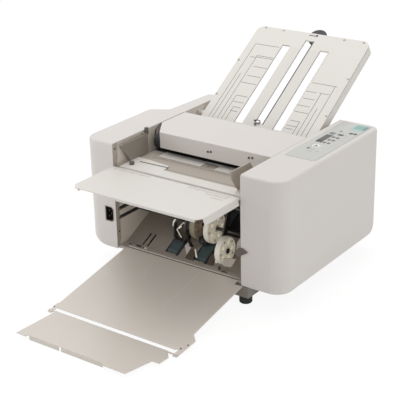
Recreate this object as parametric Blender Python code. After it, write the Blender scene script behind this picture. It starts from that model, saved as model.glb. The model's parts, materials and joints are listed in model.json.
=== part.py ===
"""Desktop paper folding machine: a sloping feed table at the rear, two moulded side covers,
buckle fold rollers under a lid, an upper table, a belt delivery and a folding paper tray.

Metres, +Z up, the operator stands at -Y. While the pieces are made, x is zero in the middle
of the paper path, y is zero at the side covers' front faces and z is zero on the bench.
The root empty then puts the middle of the whole machine's footprint on the origin.
"""
import math

import bmesh
import bpy
from mathutils import Matrix, Vector

# Clearances and cutting
GAP = 0.0003
OVERRUN = 0.004
PIN_PLAY = 0.0003

# Facets
ROUND = 32
SMALL_ROUND = 20
CORNER_STEPS = 6
SHARP_ANGLE = math.radians(35)

# Main sizes
BAY_WIDTH = 0.345
BODY_DEPTH = 0.425
COVER_HEIGHT = 0.257
HALF_BAY = BAY_WIDTH / 2

# Feet and base pan
FOOT_RADIUS = 0.0145
FOOT_HEIGHT = 0.022
FOOT_CHAMFER = 0.002
FOOT_INSET = 0.021
FOOT_FRONT_Y = 0.019
FOOT_REAR_INSET = 0.025
PAN_HEIGHT = 0.025
PAN_WALL = 0.002
PAN_RIM = 0.016
PAN_SIDE_REACH = 0.0205
PAN_FRONT_STEP = 0.0025
PAN_NOTCH_X = -0.150
PAN_NOTCH_Y = 0.060
PAN_REAR_INSET = 0.004
PAN_TOP = FOOT_HEIGHT + PAN_HEIGHT
PAN_FLOOR_TOP = FOOT_HEIGHT + PAN_WALL
PAN_HALF_WIDTH = HALF_BAY + PAN_SIDE_REACH
FOOT_X = PAN_HALF_WIDTH - FOOT_INSET

# Side covers
COVER_WALL = 0.003
COVER_ROOF = 0.004
COVER_TOP_EDGE = 0.006
RIGHT_COVER_WIDTH = 0.105
RIGHT_FRONT_RADIUS = 0.036
RIGHT_REAR_RADIUS = 0.025
RIGHT_HEEL_RADIUS = 0.020
LEFT_COVER_WIDTH = 0.0875
LEFT_NARROW_WIDTH = 0.0455
LEFT_REAR_WIDTH = 0.038
LEFT_FRONT_RADIUS = 0.038
LEFT_REAR_RADIUS = 0.014
LEFT_HEEL_RADIUS = 0.020
LEFT_STEP_START = 0.240
LEFT_STEP_END = 0.276
COVER_BOTTOM = PAN_TOP + GAP
COVER_TOP = COVER_BOTTOM + COVER_HEIGHT

# Side frames
FRAME_WALL = 0.003
FRAME_OUTER = HALF_BAY + FRAME_WALL
FRAME_FRONT = COVER_WALL + GAP
FRAME_REAR = BODY_DEPTH - COVER_WALL - GAP
FRAME_BOTTOM = PAN_FLOOR_TOP + GAP
FRAME_TOP = COVER_TOP - COVER_ROOF - GAP
INNER_REACH = HALF_BAY - GAP

# Rear panel
REAR_PANEL_HEIGHT = 0.185
REAR_PANEL_WALL = 0.002
REAR_PANEL_INSET = 0.010
REAR_PANEL_Y = BODY_DEPTH - REAR_PANEL_INSET
VENT_COUNT = 9
VENT_WIDTH = 0.006
VENT_HEIGHT = 0.060
VENT_PITCH = 0.020

# Fold rollers, their shafts and gears
ROLLER_RADIUS = 0.017
ROLLER_SIDE_GAP = 0.0075
ROLLER_HALF_LENGTH = HALF_BAY - ROLLER_SIDE_GAP
ROLLER_CHAMFER = 0.0015
NIP_GAP = 0.0006
JOURNAL_RADIUS = 0.005
JOURNAL_END_PLAY = 0.0003
ROLLER_Y = 0.156
FOLD_LEVEL_DROP = 0.054
ROLLER_PITCH = 2 * ROLLER_RADIUS + NIP_GAP
DIAGONAL = math.sqrt(0.5)
GEAR_TEETH = 20
GEAR_ADDENDUM = 0.0012
GEAR_DEDENDUM = 0.0018
GEAR_WIDTH = 0.010
GEAR_OFFSET = 0.002
TOOTH_TIP_SHARE = 0.22
TOOTH_PITCH_SHARE = 0.42
TOOTH_ROOT_SHARE = 0.60
GEAR_INNER_X = FRAME_OUTER + GEAR_OFFSET
GEAR_OUTER_X = GEAR_INNER_X + GEAR_WIDTH

# Drive
PULLEY_GAP = 0.003
PULLEY_WIDTH = 0.010
DRIVE_PULLEY_RADIUS = 0.024
MOTOR_PULLEY_RADIUS = 0.010
PULLEY_FLANGE = 0.0020
PULLEY_FLANGE_WIDTH = 0.001
DRIVE_BELT_THICKNESS = 0.0015
DRIVE_BELT_SIDE_PLAY = 0.0004
MOTOR_RADIUS = 0.026
MOTOR_LENGTH = 0.082
MOTOR_FLANGE_RADIUS = 0.030
MOTOR_FLANGE_LENGTH = 0.004
MOTOR_STEP = 0.002
MOTOR_Y = 0.226
MOTOR_CLEARANCE = 0.0223
MOTOR_SHAFT_RADIUS = 0.004
MOTOR_SHAFT_DEPTH = 0.012
MOTOR_HOLE_RADIUS = 0.008
PULLEY_INNER_X = GEAR_OUTER_X + PULLEY_GAP
PULLEY_OUTER_X = PULLEY_INNER_X + PULLEY_WIDTH

# Feed table
TABLE_SLOPE = math.radians(32.6)
TABLE_ORIGIN_Y = 0.350
TABLE_ORIGIN_DROP = 0.0037
TABLE_SIDE_GAP = 0.0115
TABLE_HALF_WIDTH = HALF_BAY - TABLE_SIDE_GAP
TABLE_TOP_U = 0.280
TABLE_LOW_U = -0.088
TABLE_SHEET = 0.0015
TABLE_FLANGE = 0.025
TABLE_CORNER = 0.020
SLOT_WIDTH = 0.021
SIDE_SLOT_X = 0.0545
CENTRE_SLOT_X = 0.0025
SIDE_SLOT_LOW = -0.030
SIDE_SLOT_HIGH = 0.226
CENTRE_SLOT_LOW = -0.020
CENTRE_SLOT_HIGH = 0.252
BRACKET_PLATE = 0.003
BRACKET_BOSS_RADIUS = 0.008
BRACKET_Y = 0.338
BRACKET_DROP = 0.022
BRACKET_HALF_LENGTH = 0.014
BRACKET_HALF_HEIGHT = 0.012
KNOB_RADIUS = 0.024
KNOB_WIDTH = 0.012
KNOB_X = 0.012
KNOB_TOP_INSET = 0.006
KNOB_U = TABLE_TOP_U - KNOB_TOP_INSET
KNOB_EDGE = 0.002
KNOB_STUD_RADIUS = 0.003
KNOB_NOTCH_PLAY = 0.003

# Feed roller, guide and separator
FEED_U = -0.104
FEED_RADIUS = 0.016
FEED_CORE_RADIUS = 0.010
FEED_TYRE_HALF = 0.015
FEED_TYRE_PITCH = 0.048
FEED_PAPER_GAP = 0.0006
PAD_HALF_WIDTH = 0.020
PAD_HALF_LENGTH = 0.007
PAD_THICKNESS = 0.0074
GUIDE_SHEET = 0.0015
GUIDE_RISE_U = 0.010
GUIDE_FALL_U = -0.018
GUIDE_DIP_Y = 0.232
GUIDE_DIP_DROP = 0.080
GUIDE_RUN_Y = 0.205
GUIDE_RUN_DROP = 0.070
GUIDE_END_Y = 0.178
GUIDE_END_DROP = 0.058

# Lid over the rollers
LID_FRONT_Y = 0.121
LID_REAR_Y = 0.270
LID_SHEET = 0.003
LID_SKIRT = 0.038
LID_SKIRT_WALL = 0.002
LID_SIDE_PLAY = 0.0005
LID_CHAMFER_X = 0.040
LID_CHAMFER_Y = 0.061
LID_CHAMFER_SKIRT = 0.012
LID_PIN_Y = 0.266
LID_PIN_DROP = 0.009
LID_PIN_RADIUS = 0.003
LID_EAR_WIDTH = 0.004
LID_EAR_RADIUS = 0.005
LATCH_Y = 0.109
LATCH_DROP = 0.008
LATCH_RADIUS = 0.005
LATCH_HEAD = 0.005
LATCH_BAR_HALF = 0.0018

# Upper table and the fold plate behind it
UPPER_LEVEL_DROP = 0.052
UPPER_SIDE_GAP = 0.0015
UPPER_HALF_WIDTH = HALF_BAY - UPPER_SIDE_GAP
UPPER_FRONT_Y = -0.144
UPPER_REAR_Y = -0.001
UPPER_SHEET = 0.002
UPPER_FLANGE = 0.018
UPPER_CHAMFER = 0.022
UPPER_LIP = 0.006
UPPER_LIP_START = -0.045
UPPER_CORNER_X = 0.012
UPPER_CORNER_Y = 0.016
UPPER_PIVOT_Y = -0.002
UPPER_PIVOT_DROP = 0.060
UPPER_ROD_RADIUS = 0.0025
KNUCKLE_RADIUS = 0.0045
KNUCKLE_LENGTH = 0.040
KNUCKLE_X = 0.120
STRIP_FRONT_Y = 0.008
STRIP_REAR_Y = 0.040
STRIP_SHEET = 0.0015
STRIP_FLANGE = 0.014
STRIP_LUG_X = (-0.150, -0.060, 0.060, 0.150)
STRIP_LUG_WIDTH = 0.006
STRIP_LUG_DROP = 0.0095
STRIP_LEFT_GAP = 0.0125
STRIP_LEFT_X = -(HALF_BAY - STRIP_LEFT_GAP)
STRIP_TONGUE_X = -0.060
STRIP_TONGUE_SLANT = 0.005
STRIP_TONGUE_Y = 0.067
STRIP_TONGUE_TOP_Y = 0.076
STRIP_TONGUE_CORNER_X = -0.142
PLATE_FRONT_Y = 0.012
PLATE_REAR_Y = 0.136
PLATE_THICKNESS = 0.006
PLATE_MOUTH = 0.0025
PLATE_MOUTH_DEPTH = 0.100
DEFLECTOR_FRONT_Y = 0.104
DEFLECTOR_REAR_Y = 0.136
DEFLECTOR_LEFT_X = -0.125
DEFLECTOR_RIGHT_X = 0.100
DEFLECTOR_GAP_LEFT = -0.006
DEFLECTOR_GAP_RIGHT = 0.032
DEFLECTOR_BRIDGE = 0.004
ARM_SHEET = 0.003
ARM_BOSS_RADIUS = 0.005
LEFT_ARM_Y = (0.014, 0.018, 0.033, 0.046, 0.052, 0.060, 0.073, 0.101, 0.113, 0.113)
LEFT_ARM_DROP = (0.006, 0.011, 0.030, 0.048, 0.066, 0.068, 0.060, 0.063, 0.064, 0.006)
LEFT_ARM_BOSS_Y = 0.098
LEFT_ARM_BOSS_DROP = 0.034
RIGHT_ARM_GAP = 0.0295
RIGHT_ARM_X = HALF_BAY - RIGHT_ARM_GAP
RIGHT_ARM_Y = (0.004, 0.008, 0.025, 0.033, 0.112, 0.112, 0.090, 0.079)
RIGHT_ARM_DROP = (0.002, 0.018, 0.044, 0.0517, 0.0517, 0.030, 0.020, 0.003)
RIGHT_ARM_BOSS_Y = 0.060
RIGHT_ARM_BOSS_DROP = 0.030

# Lower fold plate
LOWER_PLATE_START = 0.050
LOWER_PLATE_LENGTH = 0.150
LOWER_PLATE_THICKNESS = 0.012
LOWER_PLATE_MOUTH = 0.004
LOWER_PLATE_STOP = 0.010
LOWER_PLATE_EDGE = 0.015

# Delivery: sill, ramp, belts
SILL_FRONT_Y = 0.012
SILL_REAR_Y = 0.032
SILL_HEIGHT = 0.0067
SILL_NOTCH_LEFT = -0.154
SILL_NOTCH_RIGHT = -0.124
SILL_NOTCH_DEPTH = 0.006
RAMP_SLOPE = math.radians(26.5)
RAMP_FRONT_Y = 0.033
RAMP_FRONT_DROP = 0.2515
RAMP_LENGTH = 0.178
RAMP_SHEET = 0.0015
RAMP_TAIL = 0.012
BELT_WIDTH = 0.029
BELT_X = (-0.0445, 0.0335)
BELT_THICKNESS = 0.0012
BELT_PULLEY_RADIUS = 0.008
BELT_PROUD = 0.0006
BELT_SIDE_PLAY = 0.003
BELT_END_PLAY = 0.002
BELT_FRONT_S = 0.0155
BELT_REAR_S = 0.160
BELT_SHAFT_RADIUS = 0.003
RAMP_SLIT_X = (-0.129, -0.115)
RAMP_SLIT_START = 0.003
RAMP_SLIT_LENGTH = 0.038
RAMP_SLIT_WIDTH = 0.0045

# Delivery: stacker shafts, arm and wheels
STACKER_SHAFT_RADIUS = 0.004
REAR_SHAFT_Y = 0.084
REAR_SHAFT_DROP = 0.183
FRONT_SHAFT_Y = 0.080
FRONT_SHAFT_DROP = 0.120
WALL_SLOT_HEIGHT = 0.0050
LOWER_SLOT_FRONT_Y = 0.012
UPPER_SLOT_FRONT_Y = 0.011
UPPER_SLOT_REAR_Y = 0.058
UPPER_SLOT_DROP = 0.161
REAR_WHEEL_X = (0.006, 0.045)
REAR_WHEEL_RADIUS = 0.036
FRONT_WHEEL_X = 0.100
FRONT_WHEEL_RADIUS = 0.0320
FRONT_AXLE_Y = 0.045
FRONT_AXLE_DROP = 0.209
WHEEL_WIDTH = 0.014
WHEEL_RIM = 0.005
WHEEL_HUB_RADIUS = 0.010
WHEEL_WEB = 0.003
WHEEL_HOLE_COUNT = 5
WHEEL_HOLE_RADIUS = 0.0055
WHEEL_HOLE_CIRCLE_SHARE = 0.58
STACKER_ARM_SHEET = 0.004
STACKER_ARM_HALF_WIDTH = 0.008
STACKER_SLEEVE_RADIUS = 0.008
STACKER_SLEEVE_LENGTH = 0.016
STACKER_CAP_WIDTH = 0.002
STACKER_CAP_RADIUS = 0.006

# Paper tray and its extension
TRAY_SLOPE = math.radians(10.67)
TRAY_PIVOT_Y = 0.0080
TRAY_PIVOT_Z = 0.0517
TRAY_LEFT = 0.1535
TRAY_RIGHT = 0.1805
TRAY_HEM_RIGHT = 0.160
TRAY_NECK = 0.015
TRAY_LENGTH = 0.2485
TRAY_SHEET = 0.0016
TRAY_HEM_RADIUS = 0.0016
TRAY_PIN_RADIUS = 0.0012
TRAY_PIN_LENGTH = 0.0045
EAR_HEIGHT = 0.0070
EAR_REACH = 0.003
ARM_START = 0.195
ARM_SPREAD = 0.0165
ARM_WIDTH = 0.0105
ARM_REACH = 0.0215
ARM_LEFT_SPREAD = 0.004
EXTENSION_TILT = math.radians(2.2)
EXTENSION_THICKNESS = 0.0015
EXTENSION_RISE = 0.0020
EXTENSION_PIVOT_Z = 0.0049
EXTENSION_HINGE_SETBACK = 0.0165
EXTENSION_LEFT = 0.137
EXTENSION_RIGHT = 0.165
EXTENSION_STEP_REACH = 0.018
EXTENSION_STEP_START = 0.020
EXTENSION_STEP_END = 0.050
EXTENSION_FRONT_INSET = 0.0115
EXTENSION_LENGTH = 0.1195
EXTENSION_REAR_PLAY = 0.0015
LIP_SETBACK = 0.007
LIP_HEIGHT = 0.0109
LIP_LEFT_X = -0.107
LIP_RIGHT_X = 0.0900
LIP_SPLIT_X = -0.026
LIP_SPLIT_GAP = 0.007
LIP_END_PLAY = 0.003
HINGE_RING_RADIUS = 0.0025
HINGE_KNUCKLE_RADIUS = 0.0020
HINGE_KNUCKLE_LENGTH = 0.012
HINGE_PIN_RADIUS = 0.0010

# Control panel, circuit board and power inlet
PANEL_LEFT_INSET = 0.0135
PANEL_RIGHT_INSET = 0.0155
PANEL_REAR_INSET = 0.013
PANEL_LENGTH = 0.262
PANEL_LEFT_X = HALF_BAY + PANEL_LEFT_INSET
PANEL_RIGHT_X = HALF_BAY + RIGHT_COVER_WIDTH - PANEL_RIGHT_INSET
PANEL_REAR_Y = BODY_DEPTH - PANEL_REAR_INSET
PANEL_FRONT_Y = PANEL_REAR_Y - PANEL_LENGTH
PANEL_THICKNESS = 0.0016
PANEL_PROUD = 0.0004
PANEL_CORNER = 0.006
DISPLAY_SIDE_INSET = 0.0125
DISPLAY_REAR_INSET = 0.098
DISPLAY_WIDTH = 0.0165
DISPLAY_LENGTH = 0.056
DISPLAY_LEFT_X = PANEL_LEFT_X + DISPLAY_SIDE_INSET
DISPLAY_RIGHT_X = DISPLAY_LEFT_X + DISPLAY_WIDTH
DISPLAY_REAR_Y = PANEL_REAR_Y - DISPLAY_REAR_INSET
DISPLAY_FRONT_Y = DISPLAY_REAR_Y - DISPLAY_LENGTH
START_SIDE_INSET = 0.032
START_REAR_INSET = 0.180
START_X = PANEL_LEFT_X + START_SIDE_INSET
START_Y = PANEL_REAR_Y - START_REAR_INSET
START_RADIUS = 0.008
START_PROUD = 0.0014
START_STEM = 0.0016
START_CROWN = 0.0006
BOARD_LEFT_INSET = 0.014
BOARD_RIGHT_INSET = 0.006
BOARD_END_INSET = 0.020
BOARD_LEFT_X = PANEL_LEFT_X + BOARD_LEFT_INSET
BOARD_RIGHT_X = PANEL_RIGHT_X - BOARD_RIGHT_INSET
BOARD_FRONT_Y = PANEL_FRONT_Y + BOARD_END_INSET
BOARD_REAR_Y = PANEL_REAR_Y - BOARD_END_INSET
BOARD_DROP = 0.020
BOARD_THICKNESS = 0.0016
BOARD_INSET = 0.008
STANDOFF_RADIUS = 0.003
CHIP_HEIGHT = 0.006
CHIP_SIZE_SHARE = 0.30
INLET_SIDE_GAP = 0.0065
INLET_WIDTH = 0.024
INLET_HEIGHT = 0.036
INLET_RIGHT_X = -(HALF_BAY + INLET_SIDE_GAP)
INLET_LEFT_X = INLET_RIGHT_X - INLET_WIDTH
INLET_TOP_DROP = 0.156
INLET_BOTTOM_DROP = INLET_TOP_DROP + INLET_HEIGHT
INLET_DEPTH = 0.022
INLET_CHAMFER = 0.006
INLET_WALL = 0.002
INLET_WELL_DEPTH = 0.015

# Footprint of the whole machine, from its widest and longest pieces
LEFTMOST_X = -(HALF_BAY + LEFT_COVER_WIDTH)
RIGHTMOST_X = HALF_BAY + RIGHT_COVER_WIDTH
TRAY_FRONT_Y = TRAY_PIVOT_Y - TRAY_LENGTH * math.cos(TRAY_SLOPE)
EXTENSION_PIVOT_Y = TRAY_FRONT_Y - EXTENSION_HINGE_SETBACK
FOREMOST_Y = EXTENSION_PIVOT_Y - EXTENSION_LENGTH * math.cos(EXTENSION_TILT)
KNOB_LOW_W = -(TABLE_SHEET + GAP + KNOB_WIDTH)
REARMOST_Y = (TABLE_ORIGIN_Y + (KNOB_U + KNOB_RADIUS) * math.cos(TABLE_SLOPE)
              - (KNOB_LOW_W + KNOB_EDGE) * math.sin(TABLE_SLOPE))
CENTRE = Vector(((LEFTMOST_X + RIGHTMOST_X) / 2, (FOREMOST_Y + REARMOST_Y) / 2, 0))

# Roller axes, as (y, z)
FOLD_LEVEL = COVER_TOP - FOLD_LEVEL_DROP
HALF_PITCH = ROLLER_PITCH / 2
ROLLER_AXES = (
    (ROLLER_Y, FOLD_LEVEL + HALF_PITCH),
    (ROLLER_Y, FOLD_LEVEL - HALF_PITCH),
    (ROLLER_Y - ROLLER_PITCH * DIAGONAL, FOLD_LEVEL - HALF_PITCH - ROLLER_PITCH * DIAGONAL),
    (ROLLER_Y, FOLD_LEVEL - HALF_PITCH - 2 * ROLLER_PITCH * DIAGONAL),
)
MOTOR_AXIS = (MOTOR_Y, PAN_FLOOR_TOP + MOTOR_CLEARANCE + MOTOR_FLANGE_RADIUS)


def table_point(u, w):
    """Return (y, z) of a place on the feed table: u up the slope, w off its surface."""
    y = TABLE_ORIGIN_Y + u * math.cos(TABLE_SLOPE) - w * math.sin(TABLE_SLOPE)
    z = COVER_TOP - TABLE_ORIGIN_DROP + u * math.sin(TABLE_SLOPE) + w * math.cos(TABLE_SLOPE)
    return y, z


def ramp_point(s, n):
    """Return (y, z) of a place on the delivery ramp: s up the slope, n off its surface."""
    y = RAMP_FRONT_Y + s * math.cos(RAMP_SLOPE) - n * math.sin(RAMP_SLOPE)
    z = COVER_TOP - RAMP_FRONT_DROP + s * math.sin(RAMP_SLOPE) + n * math.cos(RAMP_SLOPE)
    return y, z


FEED_AXIS = table_point(FEED_U, FEED_RADIUS + FEED_PAPER_GAP)
BELT_DEPTH = BELT_PULLEY_RADIUS + PIN_PLAY + BELT_THICKNESS - BELT_PROUD
BELT_FRONT_AXIS = ramp_point(BELT_FRONT_S, -BELT_DEPTH)
BELT_REAR_AXIS = ramp_point(BELT_REAR_S, -BELT_DEPTH)
REAR_SHAFT_AXIS = (REAR_SHAFT_Y, COVER_TOP - REAR_SHAFT_DROP)
FRONT_SHAFT_AXIS = (FRONT_SHAFT_Y, COVER_TOP - FRONT_SHAFT_DROP)
FRONT_AXLE = (FRONT_AXLE_Y, COVER_TOP - FRONT_AXLE_DROP)
UPPER_PIVOT = (UPPER_PIVOT_Y, COVER_TOP - UPPER_PIVOT_DROP)
LID_PIVOT = (LID_PIN_Y, COVER_TOP - LID_PIN_DROP)


# Mesh helpers

def close_mesh(bm):
    """Turn every face outwards."""
    bmesh.ops.recalc_face_normals(bm, faces=bm.faces[:])
    return bm


def loft(rings):
    """Return a closed bmesh skinned over rings of equally many points, capped at both ends."""
    bm = bmesh.new()
    loops = [[bm.verts.new(point) for point in ring] for ring in rings]
    count = len(loops[0])
    for low, high in zip(loops, loops[1:]):
        for i in range(count):
            j = (i + 1) % count
            bm.faces.new((low[i], low[j], high[j], high[i]))
    bm.faces.new(loops[0])
    bm.faces.new(loops[-1])
    return close_mesh(bm)


def box(low, high):
    """Return a box between two corners."""
    (x0, y0, z0), (x1, y1, z1) = low, high
    ring = ((x0, y0), (x1, y0), (x1, y1), (x0, y1))
    return loft([[(x, y, z) for x, y in ring] for z in (z0, z1)])


def prism_z(outline, low, high):
    """Extrude an (x, y) outline from low to high along Z."""
    return loft([[(x, y, z) for x, y in outline] for z in (low, high)])


def prism_x(outline, low, high):
    """Extrude a (y, z) outline from low to high along X."""
    return loft([[(x, y, z) for y, z in outline] for x in (low, high)])


def circle(centre, radius, steps, start=0.0):
    """Return points of a circle in a plane."""
    a, b = centre
    turn = math.tau / steps
    return [(a + radius * math.cos(start + i * turn), b + radius * math.sin(start + i * turn))
            for i in range(steps)]


def turned(profile, axis, steps=ROUND):
    """Turn an (x, radius) profile, listed from low x to high x, about an X axis at (y, z)."""
    return loft([[(x, y, z) for y, z in circle(axis, radius, steps)] for x, radius in profile])


def turned_ring(profile, axis, steps=ROUND):
    """Turn a closed (x, radius) profile that leaves a bore, about an X axis at (y, z)."""
    bm = bmesh.new()
    rings = []
    for i in range(steps):
        angle = math.tau * i / steps
        rings.append([bm.verts.new((x, axis[0] + radius * math.cos(angle),
                                    axis[1] + radius * math.sin(angle)))
                      for x, radius in profile])
    count = len(profile)
    for i, ring in enumerate(rings):
        after = rings[(i + 1) % steps]
        for j in range(count):
            k = (j + 1) % count
            bm.faces.new((ring[j], ring[k], after[k], after[j]))
    return close_mesh(bm)


def rounded_corner(centre, radius, start, end, steps=CORNER_STEPS):
    """Return points of an arc, angles in degrees."""
    points = []
    for i in range(steps + 1):
        angle = math.radians(start + (end - start) * i / steps)
        points.append((centre[0] + radius * math.cos(angle),
                       centre[1] + radius * math.sin(angle)))
    return points


def link_mesh(name, bm):
    """Make an object from a bmesh and put it in the scene."""
    mesh = bpy.data.meshes.new(name)
    bm.to_mesh(mesh)
    bm.free()
    obj = bpy.data.objects.new(name, mesh)
    bpy.context.scene.collection.objects.link(obj)
    return obj


def combine(name, base, adds=(), cuts=()):
    """Join shapes to a base and cut others from it, and return one object."""
    obj = link_mesh(name, base)
    tools = []
    for operation, shapes in (("UNION", adds), ("DIFFERENCE", cuts)):
        for shape in shapes:
            tool = link_mesh(name + "_tool", shape)
            tools.append(tool)
            modifier = obj.modifiers.new(operation.lower(), "BOOLEAN")
            modifier.operation = operation
            modifier.solver = "EXACT"
            modifier.object = tool
    if tools:
        depsgraph = bpy.context.evaluated_depsgraph_get()
        mesh = bpy.data.meshes.new_from_object(obj.evaluated_get(depsgraph))
        obj.modifiers.clear()
        obj.data = mesh
        for tool in tools:
            bpy.data.objects.remove(tool)
    return obj


def srgb(red, green, blue):
    """Turn display colour values from 0 to 255 into a linear colour."""
    linear = [((v / 255 + 0.055) / 1.055) ** 2.4 for v in (red, green, blue)]
    return (*linear, 1.0)


PALETTE = {
    "cover_white": (srgb(226, 222, 217), 0.42, 0.0),
    "painted_white": (srgb(230, 225, 220), 0.45, 0.0),
    "painted_grey": (srgb(150, 143, 135), 0.50, 0.0),
    "dark_steel": (srgb(78, 74, 68), 0.45, 0.6),
    "bright_steel": (srgb(190, 188, 184), 0.30, 1.0),
    "tray_sheet": (srgb(196, 188, 178), 0.35, 0.0),
    "roller_rubber": (srgb(60, 62, 64), 0.70, 0.0),
    "belt_teal": (srgb(52, 70, 74), 0.65, 0.0),
    "wheel_white": (srgb(226, 222, 205), 0.40, 0.0),
    "gear_nylon": (srgb(214, 210, 196), 0.50, 0.0),
    "black_plastic": (srgb(36, 35, 34), 0.50, 0.0),
    "black_rubber": (srgb(30, 30, 30), 0.80, 0.0),
    "panel_grey": (srgb(205, 205, 203), 0.45, 0.0),
    "display_grey": (srgb(110, 110, 108), 0.20, 0.0),
    "board_green": (srgb(40, 96, 62), 0.50, 0.0),
    "pan_grey": (srgb(178, 172, 166), 0.50, 0.0),
    "motor_grey": (srgb(120, 122, 124), 0.40, 0.7),
}


def material(owner, name):
    """Return a new Principled material from the palette for one object."""
    colour, roughness, metallic = PALETTE[name]
    made = bpy.data.materials.new(owner + "_" + name)
    made.use_nodes = True
    shader = made.node_tree.nodes["Principled BSDF"]
    shader.inputs["Base Color"].default_value = colour
    shader.inputs["Roughness"].default_value = roughness
    shader.inputs["Metallic"].default_value = metallic
    made.diffuse_color = colour
    return made


def finish(obj, finish_name, parent, origin=(0, 0, 0), smooth=False):
    """Give an object its material, its own copy of it, its parent and its origin."""
    shift = Vector(origin)
    obj.data.transform(Matrix.Translation(-shift))
    obj.data.materials.clear()
    obj.data.materials.append(material(obj.name, finish_name))
    if smooth:
        obj.data.shade_smooth()
        obj.data.set_sharp_from_angle(angle=SHARP_ANGLE)
    obj.location = shift
    obj.parent = parent
    return obj


def pivot_empty(name, parent, location, slope=0.0):
    """Make an empty that carries pieces at a slope about X."""
    empty = bpy.data.objects.new(name, None)
    bpy.context.scene.collection.objects.link(empty)
    empty.location = location
    empty.rotation_euler = (slope, 0, 0)
    empty.parent = parent
    return empty


# Base

def make_base(root):
    """Make the folded sheet pan, notched at its front left corner, and the four rubber feet."""
    front = -PAN_FRONT_STEP
    rear = BODY_DEPTH - PAN_REAR_INSET

    def pan_boxes(inset, low, high):
        """Return the pan's two overlapping boxes, drawn in by inset all round."""
        right = PAN_HALF_WIDTH - inset
        return (box((PAN_NOTCH_X + inset, front + inset, low), (right, rear - inset, high)),
                box((-right, PAN_NOTCH_Y + inset, low), (right, rear - inset, high)))

    outer, wing = pan_boxes(0.0, FOOT_HEIGHT, PAN_TOP)
    hollow = pan_boxes(PAN_WALL, PAN_FLOOR_TOP, PAN_TOP - PAN_WALL)
    mouth = pan_boxes(PAN_RIM, PAN_FLOOR_TOP + PAN_WALL, PAN_TOP + OVERRUN)
    finish(combine("base_pan", outer, (wing,), (*hollow, *mouth)), "pan_grey", root)
    rear_y = BODY_DEPTH - FOOT_REAR_INSET
    places = {"foot_front_left": (PAN_NOTCH_X + FOOT_INSET, FOOT_FRONT_Y),
              "foot_front_right": (FOOT_X, FOOT_FRONT_Y),
              "foot_rear_left": (-FOOT_X, rear_y), "foot_rear_right": (FOOT_X, rear_y)}
    for name, centre in places.items():
        levels = ((0.0, FOOT_RADIUS - FOOT_CHAMFER), (FOOT_CHAMFER, FOOT_RADIUS),
                  (FOOT_HEIGHT - GAP, FOOT_RADIUS))
        foot = loft([[(x, y, z) for x, y in circle(centre, radius, ROUND)] for z, radius in levels])
        finish(link_mesh(name, foot), "black_rubber", root, (*centre, 0), smooth=True)


# Side covers

def offset_path(path, inset):
    """Move an open path sideways by inset, to its left, with mitred corners."""
    normals = []
    for (x0, y0), (x1, y1) in zip(path, path[1:]):
        length = math.hypot(x1 - x0, y1 - y0)
        normals.append((-(y1 - y0) / length, (x1 - x0) / length))
    moved = []
    for i, (x, y) in enumerate(path):
        before = normals[max(i - 1, 0)]
        after = normals[min(i, len(normals) - 1)]
        scale = inset / (1 + before[0] * after[0] + before[1] * after[1])
        moved.append((x + (before[0] + after[0]) * scale, y + (before[1] + after[1]) * scale))
    return moved


def right_cover_path(heel):
    """Plan of the right cover as (distance from the bay, y), its rear drawn in by heel."""
    rear = BODY_DEPTH - heel
    front_centre = (RIGHT_COVER_WIDTH - RIGHT_FRONT_RADIUS, RIGHT_FRONT_RADIUS)
    rear_centre = (RIGHT_COVER_WIDTH - RIGHT_REAR_RADIUS, rear - RIGHT_REAR_RADIUS)
    return ([(0.0, 0.0)] + rounded_corner(front_centre, RIGHT_FRONT_RADIUS, -90, 0, 2 * CORNER_STEPS)
            + rounded_corner(rear_centre, RIGHT_REAR_RADIUS, 0, 90) + [(0.0, rear)])


def left_cover_path(heel):
    """Plan of the left cover, with the step in its side, its side drawn in by heel."""
    width = LEFT_COVER_WIDTH - heel
    front_centre = (width - LEFT_FRONT_RADIUS, LEFT_FRONT_RADIUS)
    path = [(0.0, 0.0)] + rounded_corner(front_centre, LEFT_FRONT_RADIUS, -90, 0, 2 * CORNER_STEPS)
    steps = 2 * CORNER_STEPS
    for i in range(steps + 1):
        swing = (1 - math.cos(math.pi * i / steps)) / 2
        path.append((width + (LEFT_NARROW_WIDTH - LEFT_COVER_WIDTH) * swing,
                     LEFT_STEP_START + (LEFT_STEP_END - LEFT_STEP_START) * i / steps))
    rear_centre = (LEFT_REAR_WIDTH - heel - LEFT_REAR_RADIUS, BODY_DEPTH - LEFT_REAR_RADIUS)
    return path + rounded_corner(rear_centre, LEFT_REAR_RADIUS, 0, 90) + [(0.0, BODY_DEPTH)]


def cover_rings(side, path_of, heel_radius):
    """Return the rings of a cover's outside and of its hollow, from the bottom up."""
    def place(path, z):
        return [(side * (HALF_BAY + x), y, z) for x, y in path]

    outside = []
    hollow = []
    open_path = offset_path(path_of(heel_radius), COVER_WALL)
    for z in (COVER_BOTTOM - OVERRUN, COVER_BOTTOM + COVER_WALL):
        hollow.append((open_path, z))
    for i in range(CORNER_STEPS + 1):
        angle = math.pi / 2 * i / CORNER_STEPS
        heel = heel_radius * (1 - math.sin(angle))
        rise = heel_radius * (1 - math.cos(angle))
        outside.append(place(path_of(heel), COVER_BOTTOM + rise))
        if i:
            hollow.append((offset_path(path_of(heel), COVER_WALL), COVER_BOTTOM + COVER_WALL + rise))
    for i in range(CORNER_STEPS + 1):
        angle = math.pi / 2 * i / CORNER_STEPS
        inset = COVER_TOP_EDGE * (1 - math.cos(angle))
        rise = COVER_TOP_EDGE * math.sin(angle)
        outside.append(place(offset_path(path_of(0.0), inset), COVER_TOP - COVER_TOP_EDGE + rise))
    hollow.append((offset_path(path_of(0.0), COVER_WALL), COVER_TOP - COVER_ROOF))
    reach = []
    for path, z in hollow:
        longer = [(-OVERRUN, path[0][1])] + path + [(-OVERRUN, path[-1][1])]
        reach.append(place(longer, z))
    return outside, reach


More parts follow.
